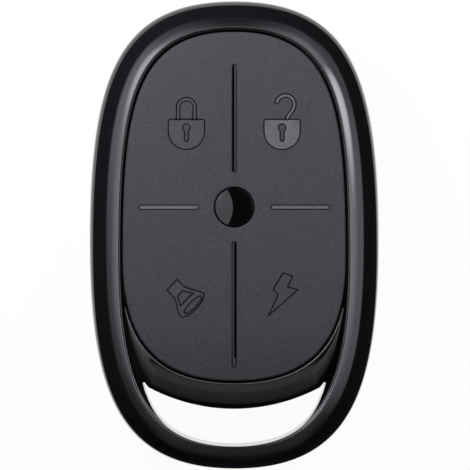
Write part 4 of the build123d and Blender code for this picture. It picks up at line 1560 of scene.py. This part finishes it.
@dataclass
class ButtonPad:
    """Rocking key pad: soft-touch skin with grooves, symbols and a rounded rim.

    Attributes:
        groove_ends: for each groove its two ends, and how far the slit in it is moved to the right;
            one with no shift has no slit.
        channel: inset and depth of each ring of a groove, from the pad's face inward.
        lower_cell: how much later than the channel the lower slit starts.
    """

    symbols: KeySymbols = field(default_factory=KeySymbols)
    crease: float = 34.0
    rim_round: float = 0.3
    rim_rows: int = 5
    rim_count: int = 360
    lens_hole: float = 2.69
    lens_round: float = 0.07
    lens_rows: int = 4
    lens_count: int = 96
    recess_radius: float = 5.6
    recess_top: float = 11.3
    post_radius: float = 1.2
    post_bevel: float = 0.15
    post_root: float = 0.2
    post_count: int = 48
    lug_start: float = 0.02
    lug_end: float = 1.6
    lug_half_width: float = 0.9
    lug_half_height: float = 0.4
    groove_half: float = 0.35
    channel: tuple[Pair, ...] = ((0.0, 0.0), (0.03, 0.24), (0.11, 0.24), (0.14, 0.12))
    slit_half: float = 0.125
    slit_bevel: float = 0.02
    slit_depth: float = 0.75
    lower_cell: float = 1.0
    groove_ends: tuple[tuple[Pair, Pair, float], ...] = (
        ((0.0, 8.15), (0.0, 22.5), -0.08), ((0.0, -17.4), (0.0, -0.75), 0.08),
        ((-12.55, 3.65), (-4.6, 3.65), 0.0), ((4.75, 3.65), (12.55, 3.65), 0.0))
    end_count: int = 13
    slot_gap: float = 0.5
    spine_count: int = 24
    symbol_depth: float = 0.12
    grid: float = 0.62
    grid_row: float = 0.87
    grid_half_width: float = 14.6
    rim_margin: float = 0.25
    lens_margin: float = 0.3
    line_margin: float = 0.24
    hole_slack: float = 0.02

    def _grooves(self) -> list[Engraving]:
        """Give the four grooves, each as nested round-ended outlines."""
        made = []
        half, slit = self.groove_half, self.slit_half
        for start, end, shift in self.groove_ends:
            first, last = np.array(start), np.array(end)
            along = (last - first) / np.hypot(*(last - first))
            low, high = first + along * half, last - along * half
            rings = [(self._round_ended(low, high, half - inset), depth) for inset, depth in self.channel]
            floor = self.channel[-1][1]
            if shift:
                low, high = low + (shift, 0.0), high + (shift, 0.0)
                low = low + along * (self.lower_cell if shift > 0 else 0.0)
                rings += [(self._round_ended(low, high, slit), floor),
                          (self._round_ended(low, high, slit - self.slit_bevel), self.slit_depth)]
                floor = self.slit_depth
            spine = low + (high - low) * np.linspace(0.0, 1.0, self.spine_count)[:, None]
            # A groove with no slit takes the painted light on its floor.
            made.append(Engraving(rings, spine, floor=floor, painted_light=not shift))
        return made

    def _round_ended(self, low: Array, high: Array, radius: float) -> Array:
        """Give points round a round-ended slot.

        Args:
            low: centre of its first end.
            high: centre of its other end.
            radius: half its width.

        Returns:
            X and Y of each point.
        """
        lean = math.degrees(math.atan2(high[1] - low[1], high[0] - low[0]))
        ring = arc(tuple(high), radius, lean - 90, lean + 90, self.end_count)
        ring += arc(tuple(low), radius, lean + 90, lean + 270, self.end_count)
        return dense(np.array(ring), self.slot_gap)

    def _lens_ring(self, radius: float) -> Array:
        """Give points of a circle round the lens."""
        return np.array(arc(SHAPE.pivot, radius, 0, 360, self.lens_count + 1)[:-1])

    def build(self) -> Object:
        """Make the piece.

        Returns:
            The object.
        """
        cuts = self._grooves() + self.symbols.build()
        mouth = self.lens_hole + self.lens_round
        plan: list[Array] = []
        depths: list[float] = []
        edges: list[tuple[int, int]] = []

        def enter(ring: Array, depth: float, closed: bool = True) -> list[int]:
            """Add an outline and the edges along it."""
            first, count = len(plan), len(ring)
            plan.extend(ring)
            depths.extend([depth] * count)
            edges.extend(loop_edges(first, count)[:None if closed else -1])
            return list(range(first, first + count))

        rim = enter(SHAPE.pad_oval.grown(-self.rim_round).outline(self.rim_count), 0.0)
        hole = enter(self._lens_ring(mouth), 0.0)
        for cut in cuts:
            for ring, depth in cut.rings:
                enter(ring, depth)
            if cut.spine is not None:
                enter(cut.spine, cut.floor, closed=False)
        spots, spot_depths = self._grid_points(np.array(plan), cuts)
        flat, faces, origins = triangulated(np.concatenate([plan, spots]), edges)
        depths.extend(spot_depths)
        deep = [max((depths[at] for at in origin), default=self.symbol_depth) for origin in origins]
        number_of = {at: made for made, origin in enumerate(origins) for at in origin}
        draft = SolidDraft()
        draft.row(flat, SHAPE.crown(flat) - deep)
        centres = np.array([flat[list(face)].mean(axis=0) for face in faces])
        away = np.hypot(centres[:, 0], centres[:, 1] - SHAPE.pivot_y)
        for face, distance, zone in zip(faces, away, zones_of(centres, cuts)):
            if distance > mouth - self.hole_slack:
                draft.face(list(face), int(zone))
        self._close(draft, [number_of[at] for at in rim], [number_of[at] for at in hole])
        skins = looks(Slot.SOFT_PAD, ENGRAVED_FLOOR, PAINTED_TRENCH_SHADE, PAINTED_LIT_FLOOR)
        pad = draft.piece("button_pad_skin", skins, self.crease)
        join(pad, self._underside_parts())
        tidy_mesh(pad, self.crease)
        return pad

    def _grid_points(self, taken: Array, cuts: list[Engraving]) -> tuple[Array, Array]:
        """Give spots between the outlines, so that the crown stays smooth.

        Args:
            taken: points of all outlines.
            cuts: the grooves and symbols.

        Returns:
            The spots and their depths.
        """
        rows = []
        heights = np.arange(SHAPE.pad_oval.bottom, SHAPE.pad_oval.top, self.grid * self.grid_row)
        for at, y in enumerate(heights):
            shift = self.grid / 2 if at % 2 else 0.0
            rows.extend((x + shift, y)
                        for x in np.arange(-self.grid_half_width, self.grid_half_width, self.grid))
        spots = np.array(rows)
        spots = spots[SHAPE.pad_oval.grown(-self.rim_round - self.rim_margin).holds(spots)]
        away = np.hypot(spots[:, 0], spots[:, 1] - SHAPE.pivot_y)
        spots = spots[away > self.lens_hole + self.lens_round + self.lens_margin]
        apart = spots[:, None] - taken[None]
        near = np.hypot(apart[..., 0], apart[..., 1]).min(axis=1)
        spots = spots[near > self.line_margin]
        for groove in (cut for cut in cuts if cut.spine is not None):
            spots = spots[~inside_polygon(spots, groove.rings[0][0])]
        on_floor = np.isin(zones_of(spots, cuts), (Zone.FLOOR, Zone.PAINTED_LIT_FLOOR))
        return spots, np.where(on_floor, self.symbol_depth, 0.0)

    def _close(self, draft: SolidDraft, rim: list[int], hole: list[int]) -> None:
        """Add the rounded rim, the sides, the recess round the lens and the underside.

        Args:
            draft: the pad's solid so far.
            rim: numbers of the points along the rim.
            hole: numbers of the points round the lens hole.
        """
        start = SHAPE.crown(SHAPE.pad_oval.grown(-self.rim_round).outline(self.rim_count))
        outer = [rim]
        for short, drop in ease(self.rim_rows)[1:]:
            plan = SHAPE.pad_oval.grown(-self.rim_round * short).outline(self.rim_count)
            outer.append(draft.row(plan, start - self.rim_round * drop))
        foot = SHAPE.pad_oval.outline(self.rim_count)
        outer.append(draft.row(foot, SHAPE.pad_underside))
        draft.band(outer)
        brink = SHAPE.crown(self._lens_ring(self.lens_hole + self.lens_round))
        inner = [hole]
        for short, drop in ease(self.lens_rows)[1:]:
            ring = self._lens_ring(self.lens_hole + self.lens_round * short)
            inner.append(draft.row(ring, brink - self.lens_round * drop))
        recess = self._lens_ring(self.recess_radius)
        for ring, height in ((self._lens_ring(self.lens_hole), self.recess_top), (recess, self.recess_top),
                             (recess, SHAPE.pad_underside)):
            inner.append(draft.row(ring, height))
        draft.band(inner)
        edges = loop_edges(0, self.rim_count) + loop_edges(self.rim_count, self.lens_count)
        _, faces, origins = triangulated(np.concatenate([foot, recess]), edges)
        numbers = outer[-1] + inner[-1]
        for face in faces:
            corners = [origins[at][0] for at in face]
            if min(corners) < self.rim_count:
                draft.face([numbers[at] for at in corners])

    def _underside_parts(self) -> Object:
        """Make the posts and the lugs that carry the pad's pins.

        Returns:
            The object.
        """
        parts = SolidDraft()
        foot, under, y = SHAPE.shelf_height, SHAPE.pad_underside, SHAPE.pivot_y
        root = under + self.post_root
        for place in SHAPE.key_places:
            parts.turned([(0.0, foot), (self.post_radius - self.post_bevel, foot),
                          (self.post_radius, foot + self.post_bevel), (self.post_radius, root), (0.0, root)],
                         place, self.post_count)
        ends = [self.recess_radius + out for out in (self.lug_start, self.lug_end)]
        for side in (-1, 1):
            near, far = sorted(side * end for end in ends)
            parts.block((near, y - self.lug_half_width, under - self.lug_half_height),
                        (far, y + self.lug_half_width, under + self.lug_half_height))
        return parts.piece("button_pad_posts", looks(Slot.SOFT_PAD))


@dataclass
class StatusLens:
    """Smoked lens and the light guide under it."""

    radius: float = 2.47
    edge_height: float = 12.16
    crown: float = 0.25
    edge_round: float = 0.03
    edge_rows: int = 5
    stem_radius: float = 2.25
    stem_top: float = 10.95
    stem_foot: float = 7.4
    rings: int = 20
    count: int = 128

    def build(self) -> Object:
        """Make the piece.

        Returns:
            The object.
        """
        bow = (self.radius ** 2 + self.crown ** 2) / (2 * self.crown)
        flat = self.radius - self.edge_round
        profile = cap(bow, self.edge_height + self.crown, flat, self.rings)
        brink = profile[-1][1]
        profile += [(flat + self.edge_round * (1 - short), brink - self.edge_round * drop)
                    for short, drop in ease(self.edge_rows)[1:]]
        profile += [(self.radius, self.stem_top), (self.stem_radius, self.stem_top),
                    (self.stem_radius, self.stem_foot), (0.0, self.stem_foot)]
        draft = SolidDraft().turned(profile, SHAPE.pivot, self.count)
        return draft.piece("status_lens_guide", looks(Slot.SMOKED_LENS))


@dataclass
class SnapDome:
    """Spring disc of one switch, which flattens as its key is pressed.

    Attributes:
        name: the key's name.
        centre: X and Y of its middle.
        share_left: how much of its height is left when the key is fully pressed; not used.
    """

    name: str
    centre: Pair
    reach: float = 1.5
    thickness: float = 0.08
    rings: int = 12
    count: int = 64
    share_left: float = 0.08

    def build(self) -> Object:
        """Make the disc.

        Returns:
            The object.
        """
        seat, top = self._heights()
        bow = (self.reach ** 2 + (top - seat) ** 2) / (2 * (top - seat))
        inner_bow, inner_top = bow - self.thickness, top - self.thickness
        inner_reach = math.sqrt(inner_bow ** 2 - (seat - top + bow) ** 2)
        profile = cap(bow, top, self.reach, self.rings)
        profile += cap(inner_bow, inner_top, inner_reach, self.rings)[::-1]
        draft = SolidDraft().turned(profile, self.centre, self.count)
        return draft.piece(f"{self.name}_snap_dome", looks(Slot.SPRING_STEEL))

    def flatten(self, dome: Object) -> None:
        """Give the disc its own copy of its mesh, without changing its shape.

        Args:
            dome: the object, with its final mesh.
        """
        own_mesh(dome)

    def _heights(self) -> Pair:
        """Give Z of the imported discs' foot and top."""
        low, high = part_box("snap_domes")
        return low.z / MM, high.z / MM


@dataclass(frozen=True)
class Lamp:
    """A soft lamp that faces the remote.

    Attributes:
        name: its name.
        place: where it hangs, in metres.
        size: its width and height in metres.
        power: in watts.
    """

    name: str
    place: Triple
    size: float
    power: float

    def hang(self) -> None:
        """Add the lamp to the scene."""
        light = bpy.data.lights.new(self.name, "AREA")
        light.size = self.size
        light.energy = self.power
        lamp = bpy.data.objects.new(self.name, light)
        lamp.location = self.place
        lamp.rotation_euler = Vector(self.place).to_track_quat("Z", "Y").to_euler()
        lamp.visible_camera = False
        lamp.visible_glossy = False
        bpy.context.scene.collection.objects.link(lamp)


@dataclass(frozen=True)
class Glint:
    """A brighter patch of the light tent.

    Attributes:
        lean: degrees from straight up.
        bearing: degrees from +X towards +Y.
        inner: degrees from its middle at which it starts to fade.
        outer: degrees from its middle at which it has faded.
        strength: how much it adds.
    """

    lean: float
    bearing: float
    inner: float
    outer: float
    strength: float

    @property
    def direction(self) -> Triple:
        """The unit vector to its middle."""
        lean, bearing = math.radians(self.lean), math.radians(self.bearing)
        return (math.sin(lean) * math.cos(bearing), math.sin(lean) * math.sin(bearing), math.cos(lean))


@dataclass(frozen=True)
class Fade:
    """A smooth change between two values.

    Attributes:
        start: where it gives low.
        end: where it gives high.
        low: first result.
        high: last result.
    """

    start: float
    end: float
    low: float = 0.0
    high: float = 1.0

    @classmethod
    def by_lean(cls, start: float, end: float, low: float = 0.0, high: float = 1.0) -> "Fade":
        """Give a fade between two leans, in degrees from straight up, that their cosine drives."""
        return cls(math.cos(math.radians(start)), math.cos(math.radians(end)), low, high)

    def on(self, sheet: NodeSheet, value: NodeSocket) -> NodeSocket:
        """Wire the fade to the socket that drives it, and give its result."""
        (first, low), (last, high) = sorted([(self.start, self.low), (self.end, self.high)])
        return sheet.remap(value, first, last, low, high, "SMOOTHSTEP")


def show_to_gloss(thing: Object) -> Object:
    """Show an object to glossy rays alone.

    Args:
        thing: the object.

    Returns:
        The same object.
    """
    for rays in ("camera", "diffuse", "transmission", "volume_scatter", "shadow"):
        setattr(thing, f"visible_{rays}", False)
    return thing


@dataclass(frozen=True)
class LightTent:
    """Dome of glowing cloth that gloss reflects.

    Attributes:
        radius: in metres.
        ring_step: degrees between its rings.
        tint: colour of the cloth.
        dark_level: light where the cloth is darkest.
        climb: light by lean, stronger near the top.
        sideways: share by bearing, from north and south to east and west.
        southward: share by bearing, from south to north.
        least_share: lowest share that the two give together.
        near_top: share close round the top, by the sine of the lean.
        edge: share by lean at the tent's lower edge.
        east: share by bearing of the east, where the edge lies lower.
        east_edge: share by lean at that lower edge.
        south: share by bearing of the south, where the cloth reaches the ground.
        south_edge: share by lean there.
        gate: share by lean of the opening in the top.
        split: light in the opening across the line that parts it.
        split_bend: how strongly that line bends.
        least_lean: lowest sine of a lean that a bearing is worked out from.
        glints: brighter patches.
    """

    radius: float = 3.0
    ring_step: int = 6
    tint: tuple[float, float, float, float] = (0.92, 0.935, 1.01, 1.0)
    dark_level: float = 0.03
    climb: Fade = Fade.by_lean(50.0, 28.0, 1.1, 3.7)
    sideways: Fade = Fade(0.0, 0.6, 0.14, 1.0)
    southward: Fade = Fade(-0.58, 0.12, 0.24, 1.0)
    least_share: float = 0.13
    near_top: Fade = Fade(0.40, 0.365, 0.0, 0.9)
    edge: Fade = Fade.by_lean(64.0, 53.0)
    east: Fade = Fade(0.55, 0.85)
    east_edge: Fade = Fade.by_lean(66.0, 62.0)
    south: Fade = Fade(-0.6, -0.95)
    south_edge: Fade = Fade(0.0, 0.6)
    gate: Fade = Fade.by_lean(26.0, 22.0)
    split: Fade = Fade(-0.037, -0.025, 0.45, 0.0)
    split_bend: float = 0.8
    least_lean: float = 0.001
    glints: tuple[Glint, ...] = (
        Glint(32.0, 146.0, 2.0, 14.0, 5.5),
        Glint(56.0, 153.0, 4.0, 25.0, 1.5),
        Glint(38.0, 19.0, 1.0, 11.0, 8.5),
        Glint(52.0, 270.0, 0.0, 48.0, 0.18),
        Glint(50.0, 350.0, 2.0, 26.0, 0.9),
    )

    def build(self) -> Object:
        """Make the tent.

        Returns:
            The object.
        """
        cloth = bpy.data.materials.new("tent_cloth")
        sheet = NodeSheet.of(cloth)
        glow = sheet.add("ShaderNodeEmission", {"Color": self.tint, "Strength": self._light(sheet)})
        sheet.add("ShaderNodeOutputMaterial", {"Surface": glow.outputs[0]})
        radius = self.radius / MM
        angles = [math.radians(angle) for angle in range(0, 90, self.ring_step)]
        profile = [(radius * math.cos(angle), radius * math.sin(angle)) for angle in angles]
        dome = SolidDraft().turned(profile + [(0.0, radius)], (0.0, 0.0), closed=False)
        return show_to_gloss(dome.piece("light_tent", [cloth]))

    def _light(self, sheet: NodeSheet) -> NodeSocket:
        """Give the cloth's light by its place on the dome.

        Args:
            sheet: the tree.

        Returns:
            The strength's socket.
        """
        unit = sheet.add("ShaderNodeVectorMath", {0: sheet.place()}, operation="NORMALIZE").outputs[0]
        across, along, up = sheet.add("ShaderNodeSeparateXYZ", {0: unit}).outputs
        lean = sheet.math("SQRT", sheet.math("SUBTRACT", 1.0, sheet.math("MULTIPLY", up, up)))
        lean = sheet.math("MAXIMUM", lean, self.least_lean)
        east, north = sheet.math("DIVIDE", across, lean), sheet.math("DIVIDE", along, lean)
        share = sheet.math("MULTIPLY", self.sideways.on(sheet, sheet.math("ABSOLUTE", east)),
                           self.southward.on(sheet, north))
        share = sheet.math("MAXIMUM", share, self.least_share)
        share = sheet.math("MAXIMUM", share, self.near_top.on(sheet, lean))
        light = sheet.math("MULTIPLY", self.climb.on(sheet, up), share)
        for glint in self.glints:
            near = sheet.add("ShaderNodeVectorMath", {0: unit, 1: glint.direction}, operation="DOT_PRODUCT")
            patch = Fade.by_lean(glint.outer, glint.inner, high=glint.strength)
            light = sheet.math("ADD", light, patch.on(sheet, near.outputs["Value"]))
        edge = sheet.math("MULTIPLY", self.east.on(sheet, east), self.east_edge.on(sheet, up))
        edge = sheet.math("MAXIMUM", self.edge.on(sheet, up), edge)
        south = sheet.math("MULTIPLY", self.south.on(sheet, north), self.south_edge.on(sheet, up))
        light = sheet.math("MULTIPLY", light, sheet.math("MAXIMUM", edge, south))
        bend = sheet.math("MULTIPLY", sheet.math("MULTIPLY", along, along), self.split_bend)
        split = self.split.on(sheet, sheet.math("ADD", across, bend))
        gate = self.gate.on(sheet, up)
        opening = sheet.math("ADD", sheet.math("SUBTRACT", 1.0, gate), sheet.math("MULTIPLY", gate, split))
        return sheet.math("ADD", sheet.math("MULTIPLY", light, opening), self.dark_level)


@dataclass(frozen=True)
class DarkCard:
    """Low dark card that stands round the remote, nearest below the loop.

    Attributes:
        paper: its colour.
        count: points round it.
        distance: how far it stands from the case, on the average.
        north_reach: how much farther it stands at the north.
        east_reach: how much nearer it stands at the east.
        foot: its lowest Z.
        height: its least height.
        rise: how much higher it is for each step away.
        rise_start: how far inside the case that rise starts.
        south_start: sine of the bearing from which it is lower at the south.
        south_fall: share of the rise that it loses there.
    """

    paper: tuple[float, float, float, float] = (0.02, 0.02, 0.022, 1.0)
    count: int = 160
    distance: float = 10.5
    north_reach: float = 8.5
    east_reach: float = 2.5
    foot: float = 0.05
    height: float = 10.0
    rise: float = 0.42
    rise_start: float = 3.0
    south_start: float = 0.8
    south_fall: float = 0.9

    def build(self) -> Object:
        """Make the card.

        Returns:
            The object.
        """
        paper = bpy.data.materials.new("dark_card")
        sheet = NodeSheet.of(paper)
        glow = sheet.add("ShaderNodeEmission", {"Color": self.paper})
        sheet.add("ShaderNodeOutputMaterial", {"Surface": glow.outputs[0]})
        start, inward = SHAPE.case_oval.rays(self.count)
        around = np.arctan2(-inward[:, 1], -inward[:, 0])
        distance = self.distance + self.north_reach * np.sin(around) - self.east_reach * np.cos(around)
        path = start - inward * distance[:, None]
        south = ease_in(np.clip((-np.sin(around) - self.south_start) / (1 - self.south_start), 0.0, 1.0))
        rise = self.rise * (distance + self.rise_start) * (1 - self.south_fall * south)
        card = SolidDraft()
        card.band([card.row(path, self.foot), card.row(path, self.height + rise)])
        return show_to_gloss(card.piece("dark_card", [paper]))


@dataclass
class Studio:
    """Camera, soft lamps, pale floor, and the tent and card that gloss reflects."""

    tent: LightTent = LightTent()
    card: DarkCard = DarkCard()
    camera_place: Triple = (0.0001, 0.0, 0.766)
    lens: float = 440.0
    sensor: float = 36.0
    clip: Pair = (0.01, 100.0)
    floor_reach: float = 40.0
    floor_z: float = -0.0001
    floor_matte: float = 0.9
    floor_glow: float = 0.96
    world_level: float = 0.165
    lamps: tuple[Lamp, ...] = (
        Lamp("key_lamp", (-0.058, 0.078, 0.072), 0.042, 0.16),
        Lamp("fill_lamp", (0.3, 0.0, 0.45), 0.3, 0.19),
        Lamp("side_lamp", (0.07, 0.024, 0.05), 0.03, 0.024),
    )

    def build(self) -> None:
        """Set up the camera, the lights and the surroundings."""
        bpy.context.scene.view_settings.view_transform = "Standard"
        self._camera()
        for lamp in self.lamps:
            lamp.hang()
        self._world()
        self._floor()
        self.tent.build()
        self.card.build()

    def _camera(self) -> None:
        """Hang the camera straight above the remote."""
        data = bpy.data.cameras.new("camera")
        data.lens, data.sensor_width = self.lens, self.sensor
        data.clip_start, data.clip_end = self.clip
        camera = bpy.data.objects.new("camera", data)
        camera.location = self.camera_place
        bpy.context.scene.collection.objects.link(camera)
        bpy.context.scene.camera = camera

    def _seen(self, sheet: NodeSheet) -> NodeSocket:
        """Give 1 for rays from the camera and for those that gloss or glass sends on.

        Args:
            sheet: the tree.

        Returns:
            The socket.
        """
        path = sheet.add("ShaderNodeLightPath").outputs
        direct = sheet.math("MAXIMUM", path["Is Camera Ray"], path["Is Glossy Ray"])
        return sheet.math("MAXIMUM", direct, path["Is Transmission Ray"])

    def _world(self) -> None:
        """Light everything softly from all round, and show white."""
        world = bpy.data.worlds.new("studio_air")
        bpy.context.scene.world = world
        sheet = NodeSheet.of(world)
        soft, white = (sheet.add("ShaderNodeBackground", {"Color": WHITE, "Strength": level}).outputs[0]
                       for level in (self.world_level, 1.0))
        sheet.add("ShaderNodeOutputWorld", {"Surface": sheet.blend(self._seen(sheet), soft, white)})

    def _floor(self) -> Object:
        """Make the white floor, which can't be seen from below.

        Returns:
            The object.
        """
        white = bpy.data.materials.new("white_floor")
        sheet = NodeSheet.of(white)
        matte = sheet.add("ShaderNodeBsdfDiffuse", {"Color": (*[self.floor_matte] * 3, 1.0)}).outputs[0]
        glow = sheet.add("ShaderNodeEmission").outputs[0]
        clear = sheet.add("ShaderNodeBsdfTransparent").outputs[0]
        share = sheet.math("MULTIPLY", self._seen(sheet), self.floor_glow)
        is_below = sheet.add("ShaderNodeNewGeometry").outputs["Backfacing"]
        surface = sheet.blend(is_below, sheet.blend(share, matte, glow), clear)
        sheet.add("ShaderNodeOutputMaterial", {"Surface": surface})
        corners = [(x * self.floor_reach, y * self.floor_reach, self.floor_z)
                   for x, y in ((-1, -1), (1, -1), (1, 1), (-1, 1))]
        mesh = bpy.data.meshes.new("floor")
        mesh.from_pydata(corners, [], [(0, 1, 2, 3)])
        mesh.materials.append(white)
        floor = bpy.data.objects.new("floor", mesh)
        bpy.context.scene.collection.objects.link(floor)
        return floor


@dataclass
class RemoteControl:
    """The whole remote: modelled outer pieces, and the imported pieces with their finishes."""

    def _place(self, piece: Object, body: str, slot: Slot, *nodes: str) -> None:
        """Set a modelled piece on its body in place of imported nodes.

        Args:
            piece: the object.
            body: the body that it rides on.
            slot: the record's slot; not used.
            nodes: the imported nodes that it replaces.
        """
        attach(piece, body)
        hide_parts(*nodes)
        LOG.info("%s stands for %s on %s, %d faces", piece.name, ", ".join(nodes), body,
                 len(piece.data.polygons))

    def build(self) -> None:
        """Make every modelled piece and dress every packed one."""
        self._place(FrontFrame().build(), "housing", Slot.GLOSS_BLACK, "front_frame")
        self._place(RearShell().build(), "housing", Slot.CASE_BLACK, "rear_shell")
        self._place(KeyDeck().build(), "housing", Slot.GLOSS_BLACK, "key_deck")
        self._place(ButtonPad().build(), "pad", Slot.SOFT_PAD, "button_pad")
        self._place(StatusLens().build(), "housing", Slot.SMOKED_LENS, "status_lens")
        for name, centre in zip(("arm", "disarm", "siren", "flash"), SHAPE.key_places):
            disc = SnapDome(name, centre)
            dome = disc.build()
            self._place(dome, "housing", Slot.SPRING_STEEL, "snap_domes")
            disc.flatten(dome)
        self._dress_packed()

    def _dress_packed(self) -> None:
        """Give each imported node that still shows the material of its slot."""
        for row in frame["record"]["subparts"]:
            thing = frame["nodes"][row["node"]]
            if thing.hide_render:
                continue
            [material] = looks(Slot(row["material_slot"]))
            if not thing.material_slots:
                thing.data.materials.append(material)
            for socket in thing.material_slots:
                socket.link = "OBJECT"
                socket.material = material
            LOG.info("%s wears %s", row["node"], material.name)


def main() -> None:
    """Build the remote and the studio."""
    logging.basicConfig(level=logging.INFO, format="%(name)s: %(message)s")
    RemoteControl().build()
    Studio().build()
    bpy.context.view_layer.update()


if __name__ == "__main__":
    main()
